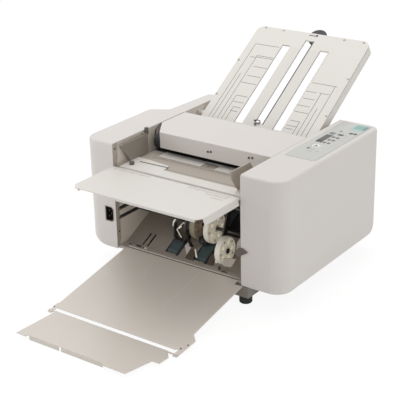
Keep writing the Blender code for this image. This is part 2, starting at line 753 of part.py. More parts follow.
def panel_outline(left, right, front, rear, radius):
    """Return a rectangle with round corners as (x, y) points."""
    return (rounded_corner((right - radius, rear - radius), radius, 0, 90)
            + rounded_corner((left + radius, rear - radius), radius, 90, 180)
            + rounded_corner((left + radius, front + radius), radius, 180, 270)
            + rounded_corner((right - radius, front + radius), radius, 270, 360))


def make_covers(root):
    """Make the two moulded side covers and what is set into them."""
    outside, hollow = cover_rings(1, right_cover_path, RIGHT_HEEL_RADIUS)
    pocket_floor = COVER_TOP + PANEL_PROUD - PANEL_THICKNESS - GAP
    pocket = prism_z(panel_outline(PANEL_LEFT_X - GAP, PANEL_RIGHT_X + GAP, PANEL_FRONT_Y - GAP,
                                   PANEL_REAR_Y + GAP, PANEL_CORNER),
                     pocket_floor, COVER_TOP + OVERRUN)
    well = prism_z(circle((START_X, START_Y), START_RADIUS + GAP, ROUND),
                   COVER_TOP - COVER_ROOF - OVERRUN, COVER_TOP + OVERRUN)
    finish(combine("right_cover", loft(outside), (), (loft(hollow), pocket, well)),
           "cover_white", root, smooth=True)

    outside, hollow = cover_rings(-1, left_cover_path, LEFT_HEEL_RADIUS)
    hole = prism_y(inlet_outline(GAP), -OVERRUN, COVER_WALL + OVERRUN)
    finish(combine("left_cover", loft(outside), (), (loft(hollow), hole)),
           "cover_white", root, smooth=True)


def prism_y(outline, low, high):
    """Extrude an (x, z) outline from low to high along Y."""
    return loft([[(x, y, z) for x, z in outline] for y in (low, high)])


def inlet_outline(margin):
    """Return the inlet's front outline, two corners cut off, grown by margin."""
    left = INLET_LEFT_X - margin
    right = INLET_RIGHT_X + margin
    top = COVER_TOP - INLET_TOP_DROP + margin
    bottom = COVER_TOP - INLET_BOTTOM_DROP - margin
    return ((left, bottom), (right - INLET_CHAMFER, bottom), (right, bottom + INLET_CHAMFER),
            (right, top - INLET_CHAMFER), (right - INLET_CHAMFER, top), (left, top))


def make_electrics(root):
    """Make the power inlet, the control panel with its display and button, and the board."""
    body = prism_y(inlet_outline(0.0), GAP, INLET_DEPTH)
    well = prism_y(inlet_outline(-INLET_WALL), -OVERRUN, INLET_WELL_DEPTH)
    finish(combine("power_inlet", body, (), (well,)), "black_plastic", root)

    top = COVER_TOP + PANEL_PROUD
    bottom = top - PANEL_THICKNESS
    sheet = prism_z(panel_outline(PANEL_LEFT_X, PANEL_RIGHT_X, PANEL_FRONT_Y, PANEL_REAR_Y,
                                  PANEL_CORNER), bottom, top)
    window = box((DISPLAY_LEFT_X, DISPLAY_FRONT_Y, bottom - OVERRUN),
                 (DISPLAY_RIGHT_X, DISPLAY_REAR_Y, top + OVERRUN))
    hole = prism_z(circle((START_X, START_Y), START_RADIUS + GAP, ROUND),
                   bottom - OVERRUN, top + OVERRUN)
    finish(combine("control_panel", sheet, (), (window, hole)), "panel_grey", root)
    finish(link_mesh("display_lens", box((DISPLAY_LEFT_X + GAP, DISPLAY_FRONT_Y + GAP, bottom),
                                         (DISPLAY_RIGHT_X - GAP, DISPLAY_REAR_Y - GAP, top))),
           "display_grey", root)
    levels = ((bottom - START_STEM, START_RADIUS), (top + START_PROUD - START_CROWN, START_RADIUS),
              (top + START_PROUD, START_RADIUS - 2 * START_CROWN))
    button = loft([[(x, y, z) for x, y in circle((START_X, START_Y), radius, ROUND)]
                   for z, radius in levels])
    finish(link_mesh("start_button", button), "painted_white", root, (START_X, START_Y, top),
           smooth=True)

    board_top = COVER_TOP - BOARD_DROP
    board = box((BOARD_LEFT_X, BOARD_FRONT_Y, board_top - BOARD_THICKNESS),
                (BOARD_RIGHT_X, BOARD_REAR_Y, board_top))
    parts = []
    for x in (BOARD_LEFT_X + BOARD_INSET, BOARD_RIGHT_X - BOARD_INSET):
        for y in (BOARD_FRONT_Y + BOARD_INSET, BOARD_REAR_Y - BOARD_INSET):
            parts.append(prism_z(circle((x, y), STANDOFF_RADIUS, SMALL_ROUND),
                                 board_top - BOARD_THICKNESS / 2, COVER_TOP - COVER_ROOF - GAP))
    chip_x = (BOARD_RIGHT_X - BOARD_LEFT_X) * CHIP_SIZE_SHARE / 2
    middle_x = (BOARD_LEFT_X + BOARD_RIGHT_X) / 2
    middle_y = (BOARD_FRONT_Y + BOARD_REAR_Y) / 2
    chip_low = board_top - BOARD_THICKNESS - CHIP_HEIGHT
    parts.append(box((middle_x - chip_x, middle_y - 2 * chip_x, chip_low),
                     (middle_x + chip_x, middle_y + 2 * chip_x, board_top - BOARD_THICKNESS / 2)))
    finish(combine("circuit_board", board, parts), "board_green", root)


# Side frames and rear panel

def slot_x(front, rear, z, half_height, low, high):
    """Return a cutter with round ends along Y, running from low to high along X."""
    outline = (rounded_corner((rear - half_height, z), half_height, -90, 90)
               + rounded_corner((front + half_height, z), half_height, 90, 270))
    return prism_x(outline, low, high)


def make_frames(root):
    """Make the two steel side plates that carry every shaft, and the vented rear panel."""
    bores = [(axis, JOURNAL_RADIUS) for axis in ROLLER_AXES]
    bores += [(FEED_AXIS, JOURNAL_RADIUS), (LID_PIVOT, LID_PIN_RADIUS),
              (BELT_FRONT_AXIS, BELT_SHAFT_RADIUS), (BELT_REAR_AXIS, BELT_SHAFT_RADIUS),
              (REAR_SHAFT_AXIS, STACKER_SHAFT_RADIUS), (FRONT_SHAFT_AXIS, STACKER_SHAFT_RADIUS)]
    slots = ((LOWER_SLOT_FRONT_Y, *REAR_SHAFT_AXIS),
             (UPPER_SLOT_FRONT_Y, UPPER_SLOT_REAR_Y, COVER_TOP - UPPER_SLOT_DROP))
    foot_rear = FRAME_REAR - RIGHT_HEEL_RADIUS
    heel_low = COVER_BOTTOM + COVER_WALL
    for name, side, pan_front in (("left_side_frame", -1, PAN_NOTCH_Y),
                                  ("right_side_frame", 1, -PAN_FRONT_STEP)):
        foot_front = pan_front + PAN_RIM + GAP
        outline = ((foot_front, FRAME_BOTTOM), (foot_rear, FRAME_BOTTOM), (foot_rear, heel_low),
                   (FRAME_REAR, heel_low + RIGHT_HEEL_RADIUS), (FRAME_REAR, FRAME_TOP),
                   (FRAME_FRONT, FRAME_TOP), (FRAME_FRONT, COVER_BOTTOM), (foot_front, COVER_BOTTOM))
        inner, outer = sorted((side * HALF_BAY, side * FRAME_OUTER))
        low, high = inner - OVERRUN, outer + OVERRUN
        plate = prism_x(outline, inner, outer)
        cuts = [turned([(low, radius + PIN_PLAY), (high, radius + PIN_PLAY)], axis, SMALL_ROUND)
                for axis, radius in bores]
        for front, rear, z in slots:
            cuts.append(slot_x(front, rear, z, WALL_SLOT_HEIGHT / 2, low, high))
        if side > 0:
            cuts.append(turned([(low, MOTOR_HOLE_RADIUS), (high, MOTOR_HOLE_RADIUS)],
                               MOTOR_AXIS, SMALL_ROUND))
        finish(combine(name, plate, (), cuts), "painted_grey", root)

    top = PAN_TOP + REAR_PANEL_HEIGHT
    panel = box((-INNER_REACH, REAR_PANEL_Y, PAN_TOP + GAP),
                (INNER_REACH, REAR_PANEL_Y + REAR_PANEL_WALL, top))
    middle = (PAN_TOP + top) / 2
    vents = []
    for i in range(VENT_COUNT):
        x = (i - (VENT_COUNT - 1) / 2) * VENT_PITCH
        vents.append(box((x - VENT_WIDTH / 2, REAR_PANEL_Y - OVERRUN, middle - VENT_HEIGHT / 2),
                         (x + VENT_WIDTH / 2, REAR_PANEL_Y + REAR_PANEL_WALL + OVERRUN,
                          middle + VENT_HEIGHT / 2)))
    finish(combine("rear_panel", panel, (), vents), "cover_white", root)


# Rollers, gears and drive

def journal_profile(right_end):
    """Return a fold roller's profile, its right journal running out to right_end."""
    left_end = -(FRAME_OUTER - JOURNAL_END_PLAY)
    return [(left_end, JOURNAL_RADIUS), (-ROLLER_HALF_LENGTH, JOURNAL_RADIUS),
            (-ROLLER_HALF_LENGTH, ROLLER_RADIUS - ROLLER_CHAMFER),
            (-ROLLER_HALF_LENGTH + ROLLER_CHAMFER, ROLLER_RADIUS),
            (ROLLER_HALF_LENGTH - ROLLER_CHAMFER, ROLLER_RADIUS),
            (ROLLER_HALF_LENGTH, ROLLER_RADIUS - ROLLER_CHAMFER),
            (ROLLER_HALF_LENGTH, JOURNAL_RADIUS), (right_end, JOURNAL_RADIUS)]


def gear_outline(axis, phase):
    """Return a spur gear's outline, with a tooth at the angle phase."""
    pitch = math.tau / GEAR_TEETH
    pitch_radius = ROLLER_PITCH / 2
    corners = ((pitch_radius - GEAR_DEDENDUM, TOOTH_ROOT_SHARE), (pitch_radius, TOOTH_PITCH_SHARE),
               (pitch_radius + GEAR_ADDENDUM, TOOTH_TIP_SHARE))
    points = []
    for tooth in range(GEAR_TEETH):
        middle = phase + tooth * pitch
        rising = [(radius, middle - share * pitch / 2) for radius, share in corners]
        falling = [(radius, middle + share * pitch / 2) for radius, share in reversed(corners)]
        for radius, angle in rising + falling:
            points.append((axis[0] + radius * math.cos(angle), axis[1] + radius * math.sin(angle)))
    return points


def make_fold_rollers(root):
    """Make the four fold rollers and the gears that turn them together."""
    half_tooth = math.pi / GEAR_TEETH
    for i, axis in enumerate(ROLLER_AXES):
        driven = i == len(ROLLER_AXES) - 1
        right_end = PULLEY_OUTER_X if driven else GEAR_OUTER_X
        roller = turned(journal_profile(right_end), axis)
        finish(link_mesh("fold_roller_%d" % (i + 1), roller), "roller_rubber", root, (0, *axis),
               smooth=True)
        phase = half_tooth if i % 2 else 0.0
        gear = prism_x(gear_outline(axis, phase), GEAR_INNER_X, GEAR_OUTER_X)
        bore = turned([(GEAR_INNER_X - OVERRUN, JOURNAL_RADIUS + PIN_PLAY),
                       (GEAR_OUTER_X + OVERRUN, JOURNAL_RADIUS + PIN_PLAY)], axis, ROUND)
        finish(combine("fold_gear_%d" % (i + 1), gear, (), (bore,)), "gear_nylon", root, (0, *axis))


def pulley_profile(radius, bore):
    """Return a flanged pulley's closed profile."""
    flange = radius + PULLEY_FLANGE
    low = PULLEY_INNER_X
    high = PULLEY_OUTER_X
    return [(low, bore), (low, flange), (low + PULLEY_FLANGE_WIDTH, flange),
            (low + PULLEY_FLANGE_WIDTH, radius), (high - PULLEY_FLANGE_WIDTH, radius),
            (high - PULLEY_FLANGE_WIDTH, flange), (high, flange), (high, bore)]


def belt_loop(first, first_radius, second, second_radius, thickness):
    """Return the outer and inner outlines of a belt round two pulleys, as (y, z) points."""
    along = math.atan2(second[1] - first[1], second[0] - first[0])
    distance = math.hypot(second[0] - first[0], second[1] - first[1])
    lean = math.acos((first_radius - second_radius) / distance)
    loops = []
    for grow in (thickness, 0.0):
        loop = []
        for centre, radius, start, end in (
                (second, second_radius, along - lean, along + lean),
                (first, first_radius, along + lean, along - lean + math.tau)):
            for i in range(SMALL_ROUND + 1):
                angle = start + (end - start) * i / SMALL_ROUND
                loop.append((centre[0] + (radius + grow) * math.cos(angle),
                             centre[1] + (radius + grow) * math.sin(angle)))
        loops.append(loop)
    return loops


def loop_band(loops, low, high):
    """Return a closed band between an outer and an inner outline, from low to high along X."""
    bm = bmesh.new()
    corners = [(loops[0], low), (loops[0], high), (loops[1], high), (loops[1], low)]
    rings = [[bm.verts.new((x, y, z)) for y, z in loop] for loop, x in corners]
    count = len(rings[0])
    for a in range(4):
        one, two = rings[a], rings[(a + 1) % 4]
        for i in range(count):
            j = (i + 1) % count
            bm.faces.new((one[i], one[j], two[j], two[i]))
    return close_mesh(bm)


def make_drive(root):
    """Make the motor, its pulley, the pulley on the lowest fold roller and their belt."""
    drive_axis = ROLLER_AXES[-1]
    drive = turned_ring(pulley_profile(DRIVE_PULLEY_RADIUS, JOURNAL_RADIUS + PIN_PLAY), drive_axis)
    finish(link_mesh("drive_pulley", drive), "gear_nylon", root, (0, *drive_axis), smooth=True)

    inner = INNER_REACH
    low = inner - MOTOR_LENGTH
    motor = turned([(low, MOTOR_RADIUS - MOTOR_STEP), (low + MOTOR_STEP, MOTOR_RADIUS),
                    (inner - MOTOR_FLANGE_LENGTH, MOTOR_RADIUS),
                    (inner - MOTOR_FLANGE_LENGTH, MOTOR_FLANGE_RADIUS),
                    (inner, MOTOR_FLANGE_RADIUS)], MOTOR_AXIS)
    bore_radius = MOTOR_SHAFT_RADIUS + PIN_PLAY
    shaft_low = inner - MOTOR_SHAFT_DEPTH
    bore = turned([(shaft_low, bore_radius), (inner + OVERRUN, bore_radius)], MOTOR_AXIS, SMALL_ROUND)
    finish(combine("motor", motor, (), (bore,)), "motor_grey", root, (0, *MOTOR_AXIS), smooth=True)

    pulley = pulley_profile(MOTOR_PULLEY_RADIUS, MOTOR_SHAFT_RADIUS)[1:-1]
    shaft = [(shaft_low + GAP, MOTOR_SHAFT_RADIUS), (PULLEY_INNER_X, MOTOR_SHAFT_RADIUS)]
    finish(link_mesh("motor_pulley", turned(shaft + pulley, MOTOR_AXIS)), "bright_steel", root,
           (0, *MOTOR_AXIS), smooth=True)

    loops = belt_loop(MOTOR_AXIS, MOTOR_PULLEY_RADIUS + PIN_PLAY, drive_axis,
                      DRIVE_PULLEY_RADIUS + PIN_PLAY, DRIVE_BELT_THICKNESS)
    side = PULLEY_FLANGE_WIDTH + DRIVE_BELT_SIDE_PLAY
    finish(link_mesh("drive_belt", loop_band(loops, PULLEY_INNER_X + side, PULLEY_OUTER_X - side)),
           "black_rubber", root, smooth=True)


def make_feed(root, table):
    """Make the feed roller with its rubber tyres, the separator pad and the paper guide."""
    end = FRAME_OUTER - JOURNAL_END_PLAY
    profile = [(-end, JOURNAL_RADIUS), (-ROLLER_HALF_LENGTH, JOURNAL_RADIUS),
               (-ROLLER_HALF_LENGTH, FEED_CORE_RADIUS)]
    for i in (-1, 0, 1):
        left = i * FEED_TYRE_PITCH - FEED_TYRE_HALF
        right = i * FEED_TYRE_PITCH + FEED_TYRE_HALF
        profile += [(left, FEED_CORE_RADIUS), (left, FEED_RADIUS), (right, FEED_RADIUS),
                    (right, FEED_CORE_RADIUS)]
    profile += [(ROLLER_HALF_LENGTH, FEED_CORE_RADIUS), (ROLLER_HALF_LENGTH, JOURNAL_RADIUS),
                (end, JOURNAL_RADIUS)]
    finish(link_mesh("feed_roller", turned(profile, FEED_AXIS)), "roller_rubber", root,
           (0, *FEED_AXIS), smooth=True)

    pad_top = -FEED_PAPER_GAP
    pad = box((-PAD_HALF_WIDTH, FEED_U - PAD_HALF_LENGTH, pad_top - PAD_THICKNESS),
              (PAD_HALF_WIDTH, FEED_U + PAD_HALF_LENGTH, pad_top))
    finish(link_mesh("separator_pad", pad), "black_rubber", table)

    level = pad_top - PAD_THICKNESS - GAP
    top = [table_point(FEED_U + GUIDE_RISE_U, level), table_point(FEED_U + GUIDE_FALL_U, level),
           (GUIDE_DIP_Y, COVER_TOP - GUIDE_DIP_DROP), (GUIDE_RUN_Y, COVER_TOP - GUIDE_RUN_DROP),
           (GUIDE_END_Y, COVER_TOP - GUIDE_END_DROP)]
    bottom = offset_path(top, GUIDE_SHEET)
    finish(link_mesh("feed_guide", prism_x(top + bottom[::-1], -INNER_REACH, INNER_REACH)),
           "bright_steel", root)


# Feed table

def table_outline(inset, low):
    """Return the table's outline in its own plane, drawn in by inset, ending at low."""
    half = TABLE_HALF_WIDTH - inset
    top = TABLE_TOP_U - inset
    radius = TABLE_CORNER - inset
    return ([(-half, low), (half, low)] + rounded_corner((half - radius, top - radius), radius, 0, 90)
            + rounded_corner((-half + radius, top - radius), radius, 90, 180))


def make_feed_table(root, table):
    """Make the sloping sheet with its flange and three slots, its brackets and its knob."""
    sheet = prism_z(table_outline(0.0, TABLE_LOW_U), -TABLE_FLANGE, 0.0)
    under = prism_z(table_outline(TABLE_SHEET, TABLE_LOW_U - OVERRUN),
                    -TABLE_FLANGE - OVERRUN, -TABLE_SHEET)
    cuts = [under]
    slots = ((CENTRE_SLOT_X - SIDE_SLOT_X - SLOT_WIDTH / 2, SIDE_SLOT_LOW, SIDE_SLOT_HIGH),
             (CENTRE_SLOT_X - SLOT_WIDTH / 2, CENTRE_SLOT_LOW, CENTRE_SLOT_HIGH),
             (CENTRE_SLOT_X + SIDE_SLOT_X - SLOT_WIDTH / 2, SIDE_SLOT_LOW, SIDE_SLOT_HIGH))
    for x, low, high in slots:
        cuts.append(box((x, low, -TABLE_SHEET - OVERRUN), (x + SLOT_WIDTH, high, OVERRUN)))
    knob_reach = KNOB_RADIUS + KNOB_NOTCH_PLAY
    cuts.append(box((KNOB_X - knob_reach, TABLE_TOP_U - knob_reach, -TABLE_FLANGE - OVERRUN),
                    (KNOB_X + knob_reach, TABLE_TOP_U + OVERRUN, -TABLE_SHEET)))
    stud_hole = circle((KNOB_X, KNOB_U), KNOB_STUD_RADIUS + PIN_PLAY, SMALL_ROUND)
    cuts.append(prism_z(stud_hole, -TABLE_SHEET - OVERRUN, OVERRUN))
    finish(combine("feed_table", sheet, (), cuts), "painted_white", table)

    high = -TABLE_SHEET - GAP
    levels = ((KNOB_LOW_W, KNOB_RADIUS - KNOB_EDGE), (KNOB_LOW_W + KNOB_EDGE, KNOB_RADIUS),
              (high - KNOB_EDGE, KNOB_RADIUS), (high, KNOB_RADIUS - KNOB_EDGE),
              (high, KNOB_STUD_RADIUS), (-GAP, KNOB_STUD_RADIUS))
    knob = loft([[(x, y, z) for x, y in circle((KNOB_X, KNOB_U), radius, ROUND)]
                 for z, radius in levels])
    finish(link_mesh("skew_knob", knob), "black_plastic", table, (KNOB_X, KNOB_U, 0), smooth=True)

    y, z = BRACKET_Y, COVER_TOP - BRACKET_DROP
    for name, side in (("left_table_bracket", -1), ("right_table_bracket", 1)):
        wall = side * INNER_REACH
        inner = side * (HALF_BAY - BRACKET_PLATE)
        low, high = sorted((inner, wall))
        plate = box((low, y - BRACKET_HALF_LENGTH, z - BRACKET_HALF_HEIGHT),
                    (high, y + BRACKET_HALF_LENGTH, z + BRACKET_HALF_HEIGHT))
        middle = (low + high) / 2
        near, far = sorted((side * (TABLE_HALF_WIDTH + GAP), middle))
        boss = turned([(near, BRACKET_BOSS_RADIUS), (far, BRACKET_BOSS_RADIUS)], (y, z), SMALL_ROUND)
        finish(combine(name, plate, (boss,)), "painted_white", root)


# Lid over the rollers

def make_lid(root):
    """Make the lid with its front skirt and hinge pins, and the two latches in front of it."""
    half = HALF_BAY - LID_SIDE_PLAY
    corner = (-half + LID_CHAMFER_X, LID_FRONT_Y)
    side = (-half, LID_FRONT_Y + LID_CHAMFER_Y)
    outline = [corner, (half, LID_FRONT_Y), (half, LID_REAR_Y), (-half, LID_REAR_Y), side]
    plate = prism_z(outline, COVER_TOP - LID_SHEET, COVER_TOP)
    skirt = box((corner[0], LID_FRONT_Y, COVER_TOP - LID_SKIRT),
                (half, LID_FRONT_Y + LID_SKIRT_WALL, COVER_TOP - LID_SHEET / 2))
    bevel = offset_path([side, corner], LID_SKIRT_WALL)
    short_skirt = prism_z([side, corner] + bevel[::-1], COVER_TOP - LID_CHAMFER_SKIRT,
                          COVER_TOP - LID_SHEET / 2)
    adds = [skirt, short_skirt]
    y, z = LID_PIVOT
    for sign in (-1, 1):
        inner, outer = sorted((sign * (half - LID_EAR_WIDTH), sign * half))
        ear = circle((y, z), LID_EAR_RADIUS, SMALL_ROUND)
        adds.append(prism_x(ear, inner, outer))
        adds.append(box((inner, y - LID_EAR_RADIUS / 2, z), (outer, y + LID_EAR_RADIUS / 2,
                                                            COVER_TOP - LID_SHEET / 2)))
        near, far = sorted((sign * (half - LID_EAR_WIDTH / 2), sign * (FRAME_OUTER - GAP)))
        adds.append(turned([(near, LID_PIN_RADIUS), (far, LID_PIN_RADIUS)], (y, z), SMALL_ROUND))
    finish(combine("top_cover", plate, adds), "cover_white", root, (0, y, z))

    axis = (LATCH_Y, COVER_TOP - LATCH_DROP)
    for name, sign in (("left_latch", -1), ("right_latch", 1)):
        low, high = sorted((sign * (INNER_REACH - LATCH_HEAD), sign * INNER_REACH))
        head = turned([(low, LATCH_RADIUS), (high, LATCH_RADIUS)], axis, SMALL_ROUND)
        tip = sign * (INNER_REACH - LATCH_HEAD)
        near, far = sorted((tip - sign * LATCH_HEAD / 2, tip + sign * LATCH_HEAD / 2))
        bar = box((near, axis[0] - LATCH_BAR_HALF, axis[1] - LATCH_RADIUS * DIAGONAL),
                  (far, axis[0] + LATCH_BAR_HALF, axis[1] + LATCH_RADIUS * DIAGONAL))
        finish(combine(name, head, (bar,)), "dark_steel", root, (0, *axis))


# Upper table and upper fold plate

def make_upper_table(root):
    """Make the front table with its side flanges and knuckles, and the rod that carries it."""
    top = COVER_TOP - UPPER_LEVEL_DROP
    half = UPPER_HALF_WIDTH
    wall_front = UPPER_FRONT_Y + UPPER_CORNER_Y
    corner = half - UPPER_CORNER_X
    sheet = prism_z([(-corner, UPPER_FRONT_Y), (corner, UPPER_FRONT_Y), (half, wall_front),
                     (half, UPPER_REAR_Y), (-half, UPPER_REAR_Y), (-half, wall_front)],
                    top - UPPER_SHEET, top)
    adds = []
    wall_outline = ((wall_front, top - UPPER_SHEET / 2), (wall_front, top - UPPER_LIP),
                    (UPPER_FRONT_Y + UPPER_CHAMFER, top - UPPER_FLANGE),
                    (UPPER_REAR_Y, top - UPPER_FLANGE), (UPPER_REAR_Y, top - UPPER_SHEET / 2))
    for sign in (-1, 1):
        low, high = sorted((sign * (half - UPPER_SHEET), sign * half))
        adds.append(prism_x(wall_outline, low, high))
        adds.append(turned([(low, KNUCKLE_RADIUS), (high, KNUCKLE_RADIUS)], UPPER_PIVOT, SMALL_ROUND))
    adds.append(box((UPPER_LIP_START, UPPER_FRONT_Y, top - UPPER_LIP),
                    (corner, UPPER_FRONT_Y + UPPER_SHEET, top - UPPER_SHEET / 2)))
    for sign in (-1, 0, 1):
        low = sign * KNUCKLE_X - KNUCKLE_LENGTH / 2
        high = low + KNUCKLE_LENGTH
        adds.append(turned([(low, KNUCKLE_RADIUS), (high, KNUCKLE_RADIUS)], UPPER_PIVOT, SMALL_ROUND))
        adds.append(box((low, UPPER_REAR_Y - UPPER_SHEET, UPPER_PIVOT[1]),
                        (high, UPPER_REAR_Y, top - UPPER_SHEET / 2)))
    hole = UPPER_ROD_RADIUS + PIN_PLAY
    bore = turned([(-half - OVERRUN, hole), (half + OVERRUN, hole)], UPPER_PIVOT, SMALL_ROUND)
    finish(combine("upper_table", sheet, adds, (bore,)), "painted_white", root, (0, *UPPER_PIVOT))


# Upper fold plate behind the table

def make_fold_plate(root):
    """Make the rod, the light front strip, the fold plate, the deflector and the two arms."""
    top = COVER_TOP - UPPER_LEVEL_DROP
    rod_end = INNER_REACH
    rod = turned([(-rod_end, UPPER_ROD_RADIUS), (rod_end, UPPER_ROD_RADIUS)], UPPER_PIVOT,
                 SMALL_ROUND)
    finish(link_mesh("upper_table_rod", rod), "bright_steel", root, (0, *UPPER_PIVOT), smooth=True)

    outline = [(STRIP_LEFT_X, STRIP_FRONT_Y), (INNER_REACH, STRIP_FRONT_Y),
               (INNER_REACH, STRIP_REAR_Y), (STRIP_TONGUE_X, STRIP_REAR_Y),
               (STRIP_TONGUE_X - STRIP_TONGUE_SLANT, STRIP_TONGUE_Y),
               (STRIP_TONGUE_CORNER_X, STRIP_TONGUE_TOP_Y), (STRIP_LEFT_X, STRIP_TONGUE_TOP_Y)]
    strip = prism_z(outline, top - STRIP_SHEET, top)
    low = top - STRIP_FLANGE
    adds = [box((STRIP_LEFT_X, STRIP_FRONT_Y, low),
                (INNER_REACH, STRIP_FRONT_Y + STRIP_SHEET, top - STRIP_SHEET / 2))]
    for x in STRIP_LUG_X:
        left, right = x - STRIP_LUG_WIDTH / 2, x + STRIP_LUG_WIDTH / 2
        adds.append(turned([(left, KNUCKLE_RADIUS), (right, KNUCKLE_RADIUS)], UPPER_PIVOT,
                           SMALL_ROUND))
        adds.append(box((left, UPPER_PIVOT[0], low),
                        (right, STRIP_FRONT_Y + STRIP_SHEET / 2, top - STRIP_LUG_DROP)))
    hole = UPPER_ROD_RADIUS + PIN_PLAY
    bore = turned([(-HALF_BAY, hole), (HALF_BAY, hole)], UPPER_PIVOT, SMALL_ROUND)
    finish(combine("entry_strip", strip, adds, (bore,)), "painted_white", root)

    plate_top = top - STRIP_SHEET - GAP
    plate = box((STRIP_LEFT_X, PLATE_FRONT_Y, plate_top - PLATE_THICKNESS),
                (INNER_REACH, PLATE_REAR_Y, plate_top))
    half_mouth = PLATE_MOUTH / 2
    middle = plate_top - PLATE_THICKNESS / 2
    mouth = box((STRIP_LEFT_X + PLATE_THICKNESS, PLATE_REAR_Y - PLATE_MOUTH_DEPTH,
                 middle - half_mouth),
                (HALF_BAY - PLATE_THICKNESS, PLATE_REAR_Y + OVERRUN, middle + half_mouth))
    finish(combine("first_fold_plate", plate, (), (mouth,)), "painted_grey", root)

    outline = [(DEFLECTOR_LEFT_X, DEFLECTOR_FRONT_Y), (DEFLECTOR_GAP_LEFT, DEFLECTOR_FRONT_Y),
               (DEFLECTOR_GAP_LEFT, DEFLECTOR_REAR_Y - DEFLECTOR_BRIDGE),
               (DEFLECTOR_GAP_RIGHT, DEFLECTOR_REAR_Y - DEFLECTOR_BRIDGE),
               (DEFLECTOR_GAP_RIGHT, DEFLECTOR_FRONT_Y), (DEFLECTOR_RIGHT_X, DEFLECTOR_FRONT_Y),
               (DEFLECTOR_RIGHT_X, DEFLECTOR_REAR_Y), (DEFLECTOR_LEFT_X, DEFLECTOR_REAR_Y)]
    finish(link_mesh("paper_deflector", prism_z(outline, plate_top + GAP, top)), "painted_white",
           root)

    left = STRIP_LEFT_X - GAP
    outline = [(y, COVER_TOP - drop) for y, drop in zip(LEFT_ARM_Y, LEFT_ARM_DROP)]
    arm = prism_x(outline, left - ARM_SHEET, left)
    boss = turned([(-INNER_REACH, ARM_BOSS_RADIUS), (left - ARM_SHEET / 2, ARM_BOSS_RADIUS)],
                  (LEFT_ARM_BOSS_Y, COVER_TOP - LEFT_ARM_BOSS_DROP), SMALL_ROUND)
    finish(combine("left_plate_arm", arm, (boss,)), "painted_grey", root)

    outline = [(y, COVER_TOP - drop) for y, drop in zip(RIGHT_ARM_Y, RIGHT_ARM_DROP)]
    arm = prism_x(outline, RIGHT_ARM_X, RIGHT_ARM_X + ARM_SHEET)
    boss = turned([(RIGHT_ARM_X + ARM_SHEET / 2, ARM_BOSS_RADIUS), (INNER_REACH, ARM_BOSS_RADIUS)],
                  (RIGHT_ARM_BOSS_Y, COVER_TOP - RIGHT_ARM_BOSS_DROP), SMALL_ROUND)
    finish(combine("right_plate_arm", arm, (boss,)), "painted_grey", root)


def make_lower_fold_plate(root):
    """Make the lower buckle plate, a slotted box that runs down to the rear at 45 degrees."""
    second, third = ROLLER_AXES[1], ROLLER_AXES[2]
    nip = ((second[0] + third[0]) / 2, (second[1] + third[1]) / 2)

    def at(along, across):
        return (nip[0] + (along + across) * DIAGONAL, nip[1] + (across - along) * DIAGONAL)

    start, end = LOWER_PLATE_START, LOWER_PLATE_START + LOWER_PLATE_LENGTH
    half = LOWER_PLATE_THICKNESS / 2
    body = prism_x([at(start, -half), at(end, -half), at(end, half), at(start, half)],
                   -INNER_REACH, INNER_REACH)
    half = LOWER_PLATE_MOUTH / 2
    stop = end - LOWER_PLATE_STOP
    reach = HALF_BAY - LOWER_PLATE_EDGE
    mouth = prism_x([at(start - OVERRUN, -half), at(stop, -half), at(stop, half),
                     at(start - OVERRUN, half)], -reach, reach)
    finish(combine("second_fold_plate", body, (), (mouth,)), "bright_steel", root)


# Delivery

